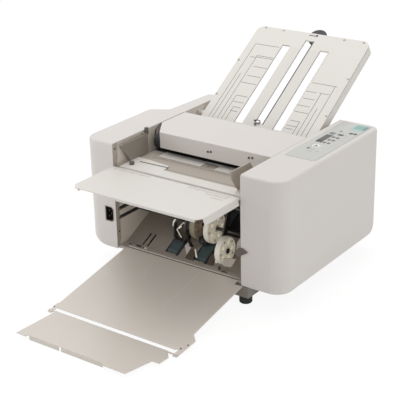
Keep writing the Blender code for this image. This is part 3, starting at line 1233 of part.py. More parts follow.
def make_delivery(root, ramp):
    """Make the sill with the tray's ears, the dark ramp, the belts and the shafts inside them."""
    low = PAN_TOP + GAP
    sill = box((-INNER_REACH, SILL_FRONT_Y, low), (INNER_REACH, SILL_REAR_Y, low + SILL_HEIGHT))
    notch = box((SILL_NOTCH_LEFT, SILL_REAR_Y - SILL_NOTCH_DEPTH, low - OVERRUN),
                (SILL_NOTCH_RIGHT, SILL_REAR_Y + OVERRUN, low + SILL_HEIGHT + OVERRUN))
    ears = []
    cuts = [notch]
    for near, far in ((-TRAY_LEFT - GAP, -INNER_REACH), (TRAY_HEM_RIGHT + GAP, INNER_REACH)):
        left, right = sorted((near, far))
        ears.append(box((left, TRAY_PIVOT_Y - EAR_REACH, low),
                        (right, (SILL_FRONT_Y + SILL_REAR_Y) / 2, low + EAR_HEIGHT)))
        cuts.append(turned([(left - OVERRUN, TRAY_PIN_RADIUS + PIN_PLAY),
                            (right + OVERRUN, TRAY_PIN_RADIUS + PIN_PLAY)],
                           (TRAY_PIVOT_Y, TRAY_PIVOT_Z), SMALL_ROUND))
    finish(combine("front_sill", sill, ears, cuts), "painted_white", root)

    sheet = box((-INNER_REACH, 0.0, -RAMP_SHEET), (INNER_REACH, RAMP_LENGTH, 0.0))
    tail = box((-INNER_REACH, RAMP_LENGTH - RAMP_SHEET, -RAMP_TAIL),
               (INNER_REACH, RAMP_LENGTH, -RAMP_SHEET / 2))
    wrap = BELT_PULLEY_RADIUS + PIN_PLAY + BELT_THICKNESS + BELT_END_PLAY
    cuts = []
    for x in BELT_X:
        half = BELT_WIDTH / 2 + BELT_SIDE_PLAY
        cuts.append(box((x - half, BELT_FRONT_S - wrap, -RAMP_SHEET - OVERRUN),
                        (x + half, BELT_REAR_S + wrap, OVERRUN)))
    for x in RAMP_SLIT_X:
        cuts.append(box((x, RAMP_SLIT_START, -RAMP_SHEET - OVERRUN),
                        (x + RAMP_SLIT_WIDTH, RAMP_SLIT_START + RAMP_SLIT_LENGTH, OVERRUN)))
    finish(combine("delivery_ramp", sheet, (tail,), cuts), "dark_steel", ramp)

    radius = BELT_PULLEY_RADIUS + PIN_PLAY
    loops = belt_loop(BELT_FRONT_AXIS, radius, BELT_REAR_AXIS, radius, BELT_THICKNESS)
    for name, x in zip(("left_delivery_belt", "right_delivery_belt"), BELT_X):
        band = loop_band(loops, x - BELT_WIDTH / 2, x + BELT_WIDTH / 2)
        finish(link_mesh(name, band), "belt_teal", root, smooth=True)

    end = FRAME_OUTER - JOURNAL_END_PLAY
    for name, axis in (("belt_shaft_front", BELT_FRONT_AXIS), ("belt_shaft_rear", BELT_REAR_AXIS)):
        profile = [(-end, BELT_SHAFT_RADIUS)]
        for x in BELT_X:
            left, right = x - BELT_WIDTH / 2, x + BELT_WIDTH / 2
            profile += [(left, BELT_SHAFT_RADIUS), (left, BELT_PULLEY_RADIUS),
                        (right, BELT_PULLEY_RADIUS), (right, BELT_SHAFT_RADIUS)]
        profile.append((end, BELT_SHAFT_RADIUS))
        finish(link_mesh(name, turned(profile, axis, SMALL_ROUND)), "bright_steel", root,
               (0, *axis), smooth=True)


def wheel(name, x, axis, radius):
    """Make a stacker wheel with a rim, a web with round holes and a hub, bored for its shaft."""
    bore = STACKER_SHAFT_RADIUS + PIN_PLAY
    half, web = WHEEL_WIDTH / 2, WHEEL_WEB / 2
    inner = radius - WHEEL_RIM
    profile = [(x - half, bore), (x - half, WHEEL_HUB_RADIUS), (x - web, WHEEL_HUB_RADIUS),
               (x - web, inner), (x - half, inner), (x - half, radius), (x + half, radius),
               (x + half, inner), (x + web, inner), (x + web, WHEEL_HUB_RADIUS),
               (x + half, WHEEL_HUB_RADIUS), (x + half, bore)]
    cuts = []
    for i in range(WHEEL_HOLE_COUNT):
        angle = math.tau * i / WHEEL_HOLE_COUNT
        reach = radius * WHEEL_HOLE_CIRCLE_SHARE
        centre = (axis[0] + reach * math.cos(angle), axis[1] + reach * math.sin(angle))
        cuts.append(turned([(x - half - OVERRUN, WHEEL_HOLE_RADIUS),
                            (x + half + OVERRUN, WHEEL_HOLE_RADIUS)], centre, SMALL_ROUND))
    return combine(name, turned_ring(profile, axis), (), cuts)


def make_stacker(root):
    """Make the two stacker shafts, their wheels and the arm that the front wheel hangs from."""
    end = FRAME_OUTER - JOURNAL_END_PLAY
    for name, axis in (("stacker_shaft_rear", REAR_SHAFT_AXIS),
                       ("stacker_shaft_front", FRONT_SHAFT_AXIS)):
        shaft = turned([(-end, STACKER_SHAFT_RADIUS), (end, STACKER_SHAFT_RADIUS)], axis, SMALL_ROUND)
        finish(link_mesh(name, shaft), "bright_steel", root, (0, *axis), smooth=True)
    for name, x in zip(("stacker_wheel_left", "stacker_wheel_right"), REAR_WHEEL_X):
        finish(wheel(name, x, REAR_SHAFT_AXIS, REAR_WHEEL_RADIUS), "wheel_white", root,
               (0, *REAR_SHAFT_AXIS), smooth=True)
    finish(wheel("stacker_wheel_front", FRONT_WHEEL_X, FRONT_AXLE, FRONT_WHEEL_RADIUS),
           "wheel_white", root, (0, *FRONT_AXLE), smooth=True)

    right = FRONT_WHEEL_X - WHEEL_WIDTH / 2 - GAP
    left = right - STACKER_ARM_SHEET
    lean = math.atan2(FRONT_AXLE[1] - FRONT_SHAFT_AXIS[1], FRONT_AXLE[0] - FRONT_SHAFT_AXIS[0])
    across = math.degrees(lean)
    outline = (rounded_corner(FRONT_AXLE, STACKER_ARM_HALF_WIDTH, across - 90, across + 90)
               + rounded_corner(FRONT_SHAFT_AXIS, STACKER_ARM_HALF_WIDTH, across + 90, across + 270))
    blade = prism_x(outline, left, right)
    sleeve = turned([(right - STACKER_SLEEVE_LENGTH, STACKER_SLEEVE_RADIUS),
                     (right, STACKER_SLEEVE_RADIUS)], FRONT_SHAFT_AXIS, SMALL_ROUND)
    outer = FRONT_WHEEL_X + WHEEL_WIDTH / 2 + GAP
    axle = turned([(left + STACKER_ARM_SHEET / 2, STACKER_SHAFT_RADIUS),
                   (outer, STACKER_SHAFT_RADIUS), (outer, STACKER_CAP_RADIUS),
                   (outer + STACKER_CAP_WIDTH, STACKER_CAP_RADIUS)], FRONT_AXLE, SMALL_ROUND)
    bore_radius = STACKER_SHAFT_RADIUS + PIN_PLAY
    bore = turned([(right - STACKER_SLEEVE_LENGTH - OVERRUN, bore_radius),
                   (right + OVERRUN, bore_radius)], FRONT_SHAFT_AXIS, SMALL_ROUND)
    finish(combine("stacker_arm", blade, (sleeve, axle), (bore,)), "dark_steel", root,
           (0, *FRONT_SHAFT_AXIS))


# Paper tray

def make_tray(root):
    """Make the sloping paper tray, hinged in the sill's ears, and its fold-over extension."""
    tray = pivot_empty("tray_pivot", root, (0, TRAY_PIVOT_Y, TRAY_PIVOT_Z), TRAY_SLOPE)
    pivot = Matrix.Rotation(-TRAY_SLOPE, 2) @ Vector((EXTENSION_PIVOT_Y - TRAY_PIVOT_Y,
                                                      EXTENSION_PIVOT_Z - TRAY_PIVOT_Z))
    top = TRAY_HEM_RADIUS
    arm_front = -TRAY_LENGTH - ARM_REACH
    arm_left = TRAY_LEFT + ARM_LEFT_SPREAD
    right_arm = [(TRAY_RIGHT, -ARM_START), (TRAY_RIGHT + ARM_SPREAD, -ARM_START - ARM_SPREAD),
                 (TRAY_RIGHT + ARM_WIDTH, arm_front), (TRAY_RIGHT, arm_front),
                 (TRAY_RIGHT, -TRAY_LENGTH)]
    left_arm = [(ARM_WIDTH - arm_left, -TRAY_LENGTH), (ARM_WIDTH - arm_left, arm_front),
                (-arm_left, arm_front), (-arm_left, ARM_WIDTH - TRAY_LENGTH),
                (-TRAY_LEFT, ARM_WIDTH + ARM_LEFT_SPREAD - TRAY_LENGTH)]
    outline = ([(-TRAY_LEFT, 0.0), (TRAY_HEM_RIGHT, 0.0), (TRAY_HEM_RIGHT, -TRAY_NECK),
                (TRAY_RIGHT, -TRAY_NECK)] + right_arm + left_arm)
    sheet = prism_z(outline[::-1], top - TRAY_SHEET, top)
    adds = [turned([(-TRAY_LEFT, TRAY_HEM_RADIUS), (TRAY_HEM_RIGHT, TRAY_HEM_RADIUS)], (0.0, 0.0),
                   SMALL_ROUND)]
    for low, high in ((-TRAY_LEFT - TRAY_PIN_LENGTH, -TRAY_LEFT + OVERRUN),
                      (TRAY_HEM_RIGHT - OVERRUN, TRAY_HEM_RIGHT + TRAY_PIN_LENGTH)):
        adds.append(turned([(low, TRAY_PIN_RADIUS), (high, TRAY_PIN_RADIUS)], (0.0, 0.0), SMALL_ROUND))
    holes = []
    for left in (-arm_left, TRAY_RIGHT):
        right = left + ARM_WIDTH
        adds.append(turned([(left, HINGE_RING_RADIUS), (right, HINGE_RING_RADIUS)], pivot, SMALL_ROUND))
        holes.append(turned([(left - OVERRUN, HINGE_PIN_RADIUS + PIN_PLAY),
                             (right + OVERRUN, HINGE_PIN_RADIUS + PIN_PLAY)], pivot, SMALL_ROUND))
    finish(combine("delivery_tray", sheet, adds, holes), "tray_sheet", tray)

    hinge = pivot_empty("extension_pivot", root, (0, EXTENSION_PIVOT_Y, EXTENSION_PIVOT_Z),
                        -EXTENSION_TILT)
    step_x = EXTENSION_RIGHT + EXTENSION_STEP_REACH
    lip_front = LIP_SETBACK - EXTENSION_LENGTH
    outline = [(EXTENSION_RIGHT, EXTENSION_REAR_PLAY), (step_x, -EXTENSION_STEP_START),
               (step_x, -EXTENSION_STEP_END), (EXTENSION_RIGHT, -EXTENSION_STEP_END),
               (EXTENSION_RIGHT - EXTENSION_FRONT_INSET, -EXTENSION_LENGTH),
               (LIP_RIGHT_X + LIP_END_PLAY, -EXTENSION_LENGTH), (LIP_RIGHT_X + LIP_END_PLAY, lip_front),
               (LIP_LEFT_X - LIP_END_PLAY, lip_front), (LIP_LEFT_X - LIP_END_PLAY, -EXTENSION_LENGTH),
               (-EXTENSION_LEFT, -EXTENSION_LENGTH), (-EXTENSION_LEFT, EXTENSION_REAR_PLAY)]
    low = EXTENSION_RISE - EXTENSION_THICKNESS
    plate = prism_z(outline[::-1], low, EXTENSION_RISE)
    adds = []
    for left, right in ((LIP_LEFT_X, LIP_SPLIT_X), (LIP_SPLIT_X + LIP_SPLIT_GAP, LIP_RIGHT_X)):
        adds.append(box((left, lip_front, EXTENSION_RISE - LIP_HEIGHT),
                        (right, lip_front + EXTENSION_THICKNESS, (low + EXTENSION_RISE) / 2)))
    arm_inner = ARM_WIDTH - arm_left + GAP
    for profile in ([(-arm_left, HINGE_PIN_RADIUS), (arm_inner, HINGE_PIN_RADIUS),
                     (arm_inner, HINGE_KNUCKLE_RADIUS),
                     (arm_inner + HINGE_KNUCKLE_LENGTH, HINGE_KNUCKLE_RADIUS)],
                    [(TRAY_RIGHT - GAP - HINGE_KNUCKLE_LENGTH - EXTENSION_STEP_REACH / 2,
                      HINGE_KNUCKLE_RADIUS), (TRAY_RIGHT - GAP, HINGE_KNUCKLE_RADIUS),
                     (TRAY_RIGHT - GAP, HINGE_PIN_RADIUS),
                     (TRAY_RIGHT + ARM_WIDTH, HINGE_PIN_RADIUS)]):
        adds.append(turned(profile, (0.0, 0.0), SMALL_ROUND))
    finish(combine("tray_extension", plate, adds), "tray_sheet", hinge)


def clear_scene():
    """Remove every object of the scene."""
    for obj in list(bpy.data.objects):
        bpy.data.objects.remove(obj)


def main():
    """Build the machine."""
    clear_scene()
    root = pivot_empty("folding_machine", None, -CENTRE)
    table = pivot_empty("feed_table_frame", root, (0, *table_point(0.0, 0.0)), TABLE_SLOPE)
    ramp = pivot_empty("ramp_frame", root, (0, *ramp_point(0.0, 0.0)), RAMP_SLOPE)
    make_base(root)
    make_covers(root)
    make_electrics(root)
    make_frames(root)
    make_fold_rollers(root)
    make_drive(root)
    make_feed(root, table)
    make_feed_table(root, table)
    make_lid(root)
    make_upper_table(root)
    make_fold_plate(root)
    make_lower_fold_plate(root)
    make_delivery(root, ramp)
    make_stacker(root)
    make_tray(root)


main()
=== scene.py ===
"""Looks for the desktop paper folding machine, laid out as a Blender add-on and run as a script.

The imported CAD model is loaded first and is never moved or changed. Each operator makes or
finishes one group of pieces, in metres and in the frame of the CAD. Places are given in
millimetres from a datum: the middle of the paper path, the covers' front faces and their tops.
"""

import json
import math
from contextlib import contextmanager

import bmesh
import bpy
from bpy.props import FloatProperty, FloatVectorProperty, IntProperty, PointerProperty
from mathutils import Matrix, Vector

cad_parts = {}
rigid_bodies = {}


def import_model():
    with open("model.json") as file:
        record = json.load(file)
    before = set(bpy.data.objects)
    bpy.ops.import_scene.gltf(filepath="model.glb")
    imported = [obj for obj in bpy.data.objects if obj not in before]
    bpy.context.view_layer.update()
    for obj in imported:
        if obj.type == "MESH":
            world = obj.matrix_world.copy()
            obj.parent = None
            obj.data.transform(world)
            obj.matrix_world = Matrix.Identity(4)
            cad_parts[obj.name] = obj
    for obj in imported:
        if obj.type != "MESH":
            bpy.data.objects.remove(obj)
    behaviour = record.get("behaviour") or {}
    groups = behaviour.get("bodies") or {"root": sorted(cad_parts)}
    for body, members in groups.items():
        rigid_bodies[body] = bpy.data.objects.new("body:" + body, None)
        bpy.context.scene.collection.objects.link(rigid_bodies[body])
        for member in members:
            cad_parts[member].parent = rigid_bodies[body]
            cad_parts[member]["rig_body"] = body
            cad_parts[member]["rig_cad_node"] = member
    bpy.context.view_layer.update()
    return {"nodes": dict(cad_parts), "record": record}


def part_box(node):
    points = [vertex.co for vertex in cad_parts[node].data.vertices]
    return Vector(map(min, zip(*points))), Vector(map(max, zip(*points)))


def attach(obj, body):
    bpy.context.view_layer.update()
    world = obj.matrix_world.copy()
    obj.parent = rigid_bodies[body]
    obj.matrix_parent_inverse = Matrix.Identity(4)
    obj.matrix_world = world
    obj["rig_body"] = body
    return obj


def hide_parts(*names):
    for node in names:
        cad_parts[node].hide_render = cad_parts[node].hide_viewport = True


bl_info = {
    "name": "Paper folding machine",
    "version": (1, 0, 0),
    "blender": (4, 5, 0),
    "location": "3D View > Sidebar > Folder",
    "description": "Makes and finishes the visible pieces of a desktop paper folding machine",
    "category": "Object",
}

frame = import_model()
RECORD_SLOTS = {row["slot"] for row in frame["record"]["materials"]}

MM = 0.001
DOUBLE = 0.002 * MM
FLAT = 0.4
FACE_WEIGHT = 95
CORNER_STEPS = 4
LEFT_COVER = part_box("left_cover")
RIGHT_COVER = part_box("right_cover")
DATUM = Vector(((LEFT_COVER[1].x + RIGHT_COVER[0].x) / 2, RIGHT_COVER[0].y, RIGHT_COVER[1].z))


def plane_at(x, y, z, slope=0.0):
    """Return the matrix of a plane of the machine: its origin in millimetres and its slope."""
    place = Matrix.Translation(DATUM + Vector((x, y, z)) * MM)
    return place @ Matrix.Rotation(math.radians(slope), 4, "X")


MACHINE = plane_at(0, 0, 0)
TABLE = plane_at(0, 350, -3.7, 32.6)
RAMP = plane_at(0, 33, -251.5, 26.5)
TRAY = plane_at(0, 8, -252.6, 10.67)
FACING_RIGHT = Matrix(((0, 0, 1, 0), (1, 0, 0, 0), (0, 1, 0, 0), (0, 0, 0, 1)))
FACING_FRONT = Matrix(((1, 0, 0, 0), (0, 0, -1, 0), (0, 1, 0, 0), (0, 0, 0, 1)))

BAY = 172.5
PANEL_TOP = 0.4
UPPER_TOP = -52.0
REAR_AXIS = (84, -183)
FRONT_AXLE = (45, -209)
TRAY_TOP = 1.6
START = (218, 232)
KNOB = (12, 274, 23.6)
KNOB_RIBS = 36
KNOB_DROP = -12.3
KNOB_RIB = (0.0011, 0.0011, 0.009)
BAY_ROLLER = (74, -217)
STROKE_LIFT = 0.02
STROKE_THICKNESS = 0.08

# Stage: each lamp's name, place, aim and size in metres
LAMPS = (("key", (-0.5, 0.5, 2.6), (0, 0, 0.2), 2.4),
         ("fill", (2.6, -0.5, 0.6), (0.2, 0, 0.15), 1.4),
         ("front", (-0.95, -0.8, 0.4), (-0.15, -0.1, 0.1), 0.5))
FLOOR_SIZE = 40.0
FLOOR_GLOW = 1.08
FLOOR_WHITE = 0.84
FRAME_SHIFT = (-0.0564, 0.0101)


# Colours and sizes that a user would change

def shade(red, green, blue):
    """Turn display values from 0 to 255 into a linear colour."""
    return tuple(((v / 255 + 0.055) / 1.055) ** 2.4 for v in (red, green, blue))


def colour(label, red, green, blue):
    """Return a colour property with a default in display values."""
    text = "Colour of the " + label.lower()
    return FloatVectorProperty(name=label, description=text, subtype="COLOR", size=3, min=0.0,
                               max=1.0, default=shade(red, green, blue))


def number(label, text, default, **limits):
    """Return a plain number's property."""
    return FloatProperty(name=label, description=text, default=default, **limits)


def length(label, text, default):
    """Return a length property in metres."""
    return number(label, text, default, min=0.0, unit="LENGTH")


def angle(label, text, degrees):
    """Return an angle property with a default in degrees."""
    return number(label, text, math.radians(degrees), subtype="ANGLE")


class FolderColours(bpy.types.PropertyGroup):
    """Colours of the finishes"""
    cover: colour("Moulded covers", 226, 221, 217)
    painted: colour("White painted sheet", 232, 228, 222)
    frame: colour("Grey painted frames", 184, 175, 164)
    ramp: colour("Dark delivery ramp", 158, 150, 140)
    tray: colour("Paper tray", 228, 220, 211)
    pan: colour("Base pan", 140, 133, 127)
    panel: colour("Control panel", 204, 204, 201)
    display: colour("Display window", 48, 48, 45)
    teal: colour("Teal field", 134, 182, 172)
    # Also the colour of the painted shadow line along the centre slot.
    ink: colour("Printed lines", 70, 69, 70)
    belt: colour("Delivery belts", 70, 86, 88)
    wheel: colour("Stacker wheels", 245, 242, 230)
    steel: colour("Bright steel", 196, 194, 190)
    rubber: colour("Roller rubber", 58, 60, 62)
    black: colour("Black plastic", 34, 34, 34)
    board: colour("Circuit board", 36, 92, 58)


class FolderSizes(bpy.types.PropertyGroup):
    """Sizes of the small details"""
    cover_edge: length("Cover edge", "Radius along the covers' plain edges", 0.0009)
    line_width: length("Line width", "Width of the printed lines", 0.0011)
    screw_radius: length("Screw radius", "Radius of the small screw heads", 0.0027)
    rivet_radius: length("Rivet radius", "Radius of the feed table's rivets", 0.0030)
    ring_steps: IntProperty(name="Ring steps", description="Segments round the turned pieces",
                            default=48, min=12, max=128)


class FolderStudio(bpy.types.PropertyGroup):
    """Camera and light"""
    azimuth: angle("Azimuth", "Camera's turn round the machine", 35.28)
    elevation: angle("Elevation", "Camera's height as an angle", 22.97)
    roll: angle("Roll", "Camera's turn about its own line of sight", -0.94)
    distance: length("Distance", "From the camera to the aim plane", 2.39787)
    aim_right: length("Aim right", "How far the camera is moved to its right", 0.10559)
    aim_down: length("Aim down", "How far the camera is moved down", 0.09733)
    lens: number("Lens", "Focal length on a 36 mm sensor, in mm", 100.43, min=1.0)
    sky: number("Sky", "Strength of the even light", 0.54, min=0.0)
    key: number("Key lamp", "Power of the large top lamp, in watts", 28.0, min=0.0)
    fill: number("Fill lamp", "Power of the right lamp, in watts", 7.6, min=0.0)
    front: number("Front lamp", "Power of the low front left lamp, in watts", 1.8, min=0.0)


def colours():
    """Return the colours set for this scene."""
    return bpy.context.scene.folder_colours


def sizes():
    """Return the small sizes set for this scene."""
    return bpy.context.scene.folder_sizes


# Node trees

class Value:
    """One socket of a node tree, open to Python's arithmetic from either side."""

    def __init__(self, paint, socket):
        self.paint = paint
        self.socket = socket

    def _math(self, operation, first, second):
        return self.paint.node("ShaderNodeMath", {"operation": operation}, {0: first, 1: second})

    def __add__(self, other):
        return self._math("ADD", self, other)

    def __radd__(self, other):
        return self._math("ADD", other, self)

    def __sub__(self, other):
        return self._math("SUBTRACT", self, other)

    def __rsub__(self, other):
        return self._math("SUBTRACT", other, self)

    def __mul__(self, other):
        return self._math("MULTIPLY", self, other)

    def __rmul__(self, other):
        return self._math("MULTIPLY", other, self)


class Paint:
    """A material in the making."""

    def __init__(self, name, roughness=0.5, metallic=0.0, **constants):
        self.material = bpy.data.materials.new(name)
        self.material.use_nodes = True
        self.tree = self.material.node_tree
        self.shader = self.tree.nodes["Principled BSDF"]
        self.shader.inputs["Roughness"].default_value = roughness
        self.shader.inputs["Metallic"].default_value = metallic
        for socket, value in constants.items():
            self.shader.inputs[socket.replace("_", " ").title()].default_value = value
        self.place = self.node("ShaderNodeTexCoord", output="Object")

    def node(self, kind, settings=None, inputs=None, output=0):
        """Add a node, set it up, fill or link its sockets and return one of its outputs."""
        made = self.tree.nodes.new(kind)
        for key, value in (settings or {}).items():
            if key == "stops":
                self._stops(made.color_ramp, value)
            else:
                setattr(made, key, value)
        for key, value in (inputs or {}).items():
            if isinstance(value, Value):
                self.tree.links.new(value.socket, made.inputs[key])
            else:
                made.inputs[key].default_value = value
        return Value(self, made.outputs[output])

    @staticmethod
    def _stops(ramp, stops):
        while len(ramp.elements) < len(stops):
            ramp.elements.new(0.5)
        for element, (position, value) in zip(ramp.elements, stops):
            element.position = position
            element.color = (value, value, value, 1.0)

    def noise(self, scale, detail=3.0, stretch=None):
        """Return noise about 0.5; scale is in bumps for each metre, stretched on each axis."""
        where = self.place
        if stretch:
            where = self.node("ShaderNodeMapping", None, {"Vector": self.place, "Scale": stretch})
        return self.node("ShaderNodeTexNoise", None,
                         {"Vector": where, "Scale": scale, "Detail": detail})

    def curve(self, value, *stops):
        """Return a value put through a grey ramp."""
        return self.node("ShaderNodeValToRGB", {"stops": stops}, {"Fac": value})

    def blend(self, factor, first, second):
        """Return a mix of two colours."""
        full = [(*c, 1.0) if isinstance(c, tuple) else c for c in (first, second)]
        return self.node("ShaderNodeMix", {"data_type": "RGBA"},
                         {0: factor, 6: full[0], 7: full[1]}, output=2)

    def height(self, value, depth, strength=1.0):
        """Bump the surface by a value; depth is in metres."""
        bump = self.node("ShaderNodeBump", None,
                         {"Height": value, "Distance": depth, "Strength": strength})
        self.feed("Normal", bump)

    def feed(self, socket, value):
        """Link a value to one of the shader's sockets."""
        self.tree.links.new(value.socket, self.shader.inputs[socket])

    def colour(self, value):
        """Set or link the base colour."""
        if isinstance(value, Value):
            self.feed("Base Color", value)
        else:
            self.shader.inputs["Base Color"].default_value = (*value, 1.0)

    def tint(self, value, base, low, high):
        """Vary the base colour between two factors of a colour by a value."""
        self.colour(self.blend(value, dimmed(base, low), dimmed(base, high)))


def dimmed(base, factor):
    """Return a colour brighter or darker by a factor."""
    return tuple(min(1.0, v * factor) for v in base[:3])


def moulded_plastic(name, base, grain=1500.0, depth=0.00003, rough=0.42, spread=0.07):
    """Spark-textured moulding: fine grain, faint flow marks and handling sheen."""
    paint = Paint(name, rough)
    cloud = paint.noise(7.0, 4.0)
    fine = paint.noise(grain, 2.0)
    paint.tint(cloud, base, 0.965, 1.02)
    paint.feed("Roughness", rough - spread / 2 + cloud * spread + (fine - 0.5) * 0.10)
    paint.height(fine, depth, 0.6)
    return paint.material


def powder_coat(name, base, rough=0.40, metallic=0.0):
    """Baked powder paint on sheet steel: orange peel and a light speckle."""
    paint = Paint(name, rough, metallic)
    cloud = paint.noise(5.0, 3.0)
    peel = paint.noise(420.0, 1.0)
    speck = paint.noise(2600.0, 0.0)
    tone = paint.blend(cloud, dimmed(base, 0.97), dimmed(base, 1.015))
    paint.colour(paint.blend(paint.curve(speck, (0.60, 0.0), (0.72, 0.22)), tone,
                             dimmed(base, 0.88)))
    paint.feed("Roughness", rough - 0.03 + cloud * 0.06)
    paint.height(peel + speck * 0.35, 0.00005, 0.5)
    return paint.material


def satin_sheet(name, base, rough=0.30):
    """Lacquered aluminium sheet: fine lengthwise brushing under a satin coat."""
    paint = Paint(name, rough, 0.08)
    brush = paint.noise(40.0, 3.0, (45.0, 1.2, 1.2))
    cloud = paint.noise(6.0, 3.0)
    tone = paint.blend(cloud, dimmed(base, 0.95), dimmed(base, 1.03))
    paint.colour(paint.blend(brush * 0.5, tone, dimmed(base, 0.90)))
    paint.feed("Roughness", rough - 0.05 + brush * 0.08 + cloud * 0.05)
    paint.height(brush, 0.00001, 0.5)
    return paint.material


def brushed_steel(name, base, rough=0.28, stretch=(1.0, 60.0, 60.0)):
    """Drawn or ground steel with lines along X."""
    paint = Paint(name, rough, 1.0)
    brush = paint.noise(50.0, 4.0, stretch)
    cloud = paint.noise(9.0, 3.0)
    paint.tint(brush, base, 0.80, 1.08)
    paint.feed("Roughness", rough - 0.06 + brush * 0.12 + cloud * 0.08)
    paint.height(brush, 0.00002, 0.5)
    return paint.material


def ground_rubber(name, base, rough=0.72):
    """Ground rubber: dull, finely pitted, polished a little where paper runs."""
    paint = Paint(name, rough)
    pits = paint.noise(1400.0, 3.0)
    bands = paint.noise(30.0, 2.0, (3.0, 1.0, 1.0))
    paint.tint(bands, base, 0.82, 1.25)
    paint.feed("Roughness", rough - 0.12 + bands * 0.22)
    paint.height(pits, 0.00006, 0.7)
    return paint.material


def belt_cloth(name, base):
    """Woven belt: a fine diagonal weave with a rubbed bloom."""
    paint = Paint(name, 0.66)
    waves = []
    for direction in ("X", "DIAGONAL"):
        waves.append(paint.node("ShaderNodeTexWave",
                                {"wave_type": "BANDS", "bands_direction": direction},
                                {"Vector": paint.place, "Scale": 260.0, "Distortion": 0.6},
                                output=1))
    weave = waves[0] * waves[1]
    bloom = paint.noise(45.0, 4.0, (1.0, 0.35, 0.35))
    tone = paint.blend(bloom, dimmed(base, 0.72), dimmed(base, 1.35))
    paint.colour(paint.blend(weave * 0.5, tone, dimmed(base, 0.55)))
    paint.feed("Roughness", 0.55 + bloom * 0.2)
    paint.height(weave, 0.00012, 0.6)
    return paint.material


def nylon(name, base, rough=0.36, glow=0.0):
    """Natural nylon: slightly waxy, with soft mould swirls and some light let through; a glow above
    0 is painted light, the part shining in its own colour.
    """
    # Emission in the base colour, set by glow: painted light, the part shines though it is no lamp.
    paint = Paint(name, rough, subsurface_weight=0.12, subsurface_scale=0.004,
                  emission_color=(*base[:3], 1.0), emission_strength=glow)
    swirl = paint.noise(55.0, 4.0)
    fine = paint.noise(900.0, 2.0)
    paint.tint(swirl, base, 0.90, 1.04)
    paint.feed("Roughness", rough - 0.05 + swirl * 0.12)
    paint.height(fine, 0.00002, 0.5)
    return paint.material


def membrane(name, base, rough=0.38):
    """Printed polyester overlay: a fine regular emboss under a matt coat."""
    paint = Paint(name, rough, coat_weight=0.15, coat_roughness=0.35)
    cells = paint.node("ShaderNodeTexVoronoi", None, {"Vector": paint.place, "Scale": 1700.0})
    cloud = paint.noise(14.0, 3.0)
    paint.tint(cloud, base, 0.96, 1.03)
    paint.feed("Roughness", rough - 0.04 + cloud * 0.08)
    paint.height(cells, 0.00003, 0.5)
    return paint.material


def smoked_window(name, base):
    """Smoked display window: glossy, with a barely visible grid of cells behind it."""
    paint = Paint(name, 0.12, coat_weight=0.6, coat_roughness=0.05)
    grid = paint.node("ShaderNodeTexBrick", {"offset": 0.0},
                      {"Vector": paint.place, "Color1": (1, 1, 1, 1), "Color2": (0.8, 0.8, 0.8, 1),
                       "Mortar": (0, 0, 0, 1), "Scale": 1.0, "Mortar Size": 0.0004,
                       "Brick Width": 0.006, "Row Height": 0.009})
    paint.tint(grid, base, 1.30, 0.85)
    paint.feed("Roughness", 0.10 + paint.noise(60.0, 3.0) * 0.10)
    return paint.material


def ink_and_painted_light(name, base, rough=0.45):
    """Screen-printed ink, also used for lines of painted shade and highlight: slightly uneven
    cover.
    """
    paint = Paint(name, rough)
    cover = paint.noise(900.0, 2.0)
    paint.tint(cover, base, 0.80, 1.30)
    paint.feed("Roughness", rough - 0.08 + cover * 0.16)
    return paint.material


def dotted_print(name, base):
    """Pale screen print in fine dots on the white table."""
    paint = Paint(name, 0.45)
    dots = paint.node("ShaderNodeTexVoronoi", {"feature": "F1"},
                      {"Vector": paint.place, "Scale": 520.0, "Randomness": 0.15})
    mask = paint.curve(dots, (0.30, 1.0), (0.42, 0.0))
    paint.tint(mask * 0.42, base, 0.985, 0.62)
    paint.feed("Roughness", 0.40 + mask * 0.10)
    return paint.material


def circuit_card(name, base):
    """Solder-masked card with copper tracks."""
    paint = Paint(name, 0.35, coat_weight=0.3, coat_roughness=0.15)
    tracks = paint.node("ShaderNodeTexBrick", {"offset": 0.37, "squash": 1.6},
                        {"Vector": paint.place, "Color1": (0, 0, 0, 1), "Color2": (0, 0, 0, 1),
                         "Mortar": (1, 1, 1, 1), "Scale": 1.0, "Mortar Size": 0.0006,
                         "Brick Width": 0.017, "Row Height": 0.0045})
    paint.tint(tracks, base, 0.85, 1.9)
    paint.feed("Roughness", 0.30 + tracks * 0.12)
    paint.height(tracks, 0.00004, 0.6)
    return paint.material


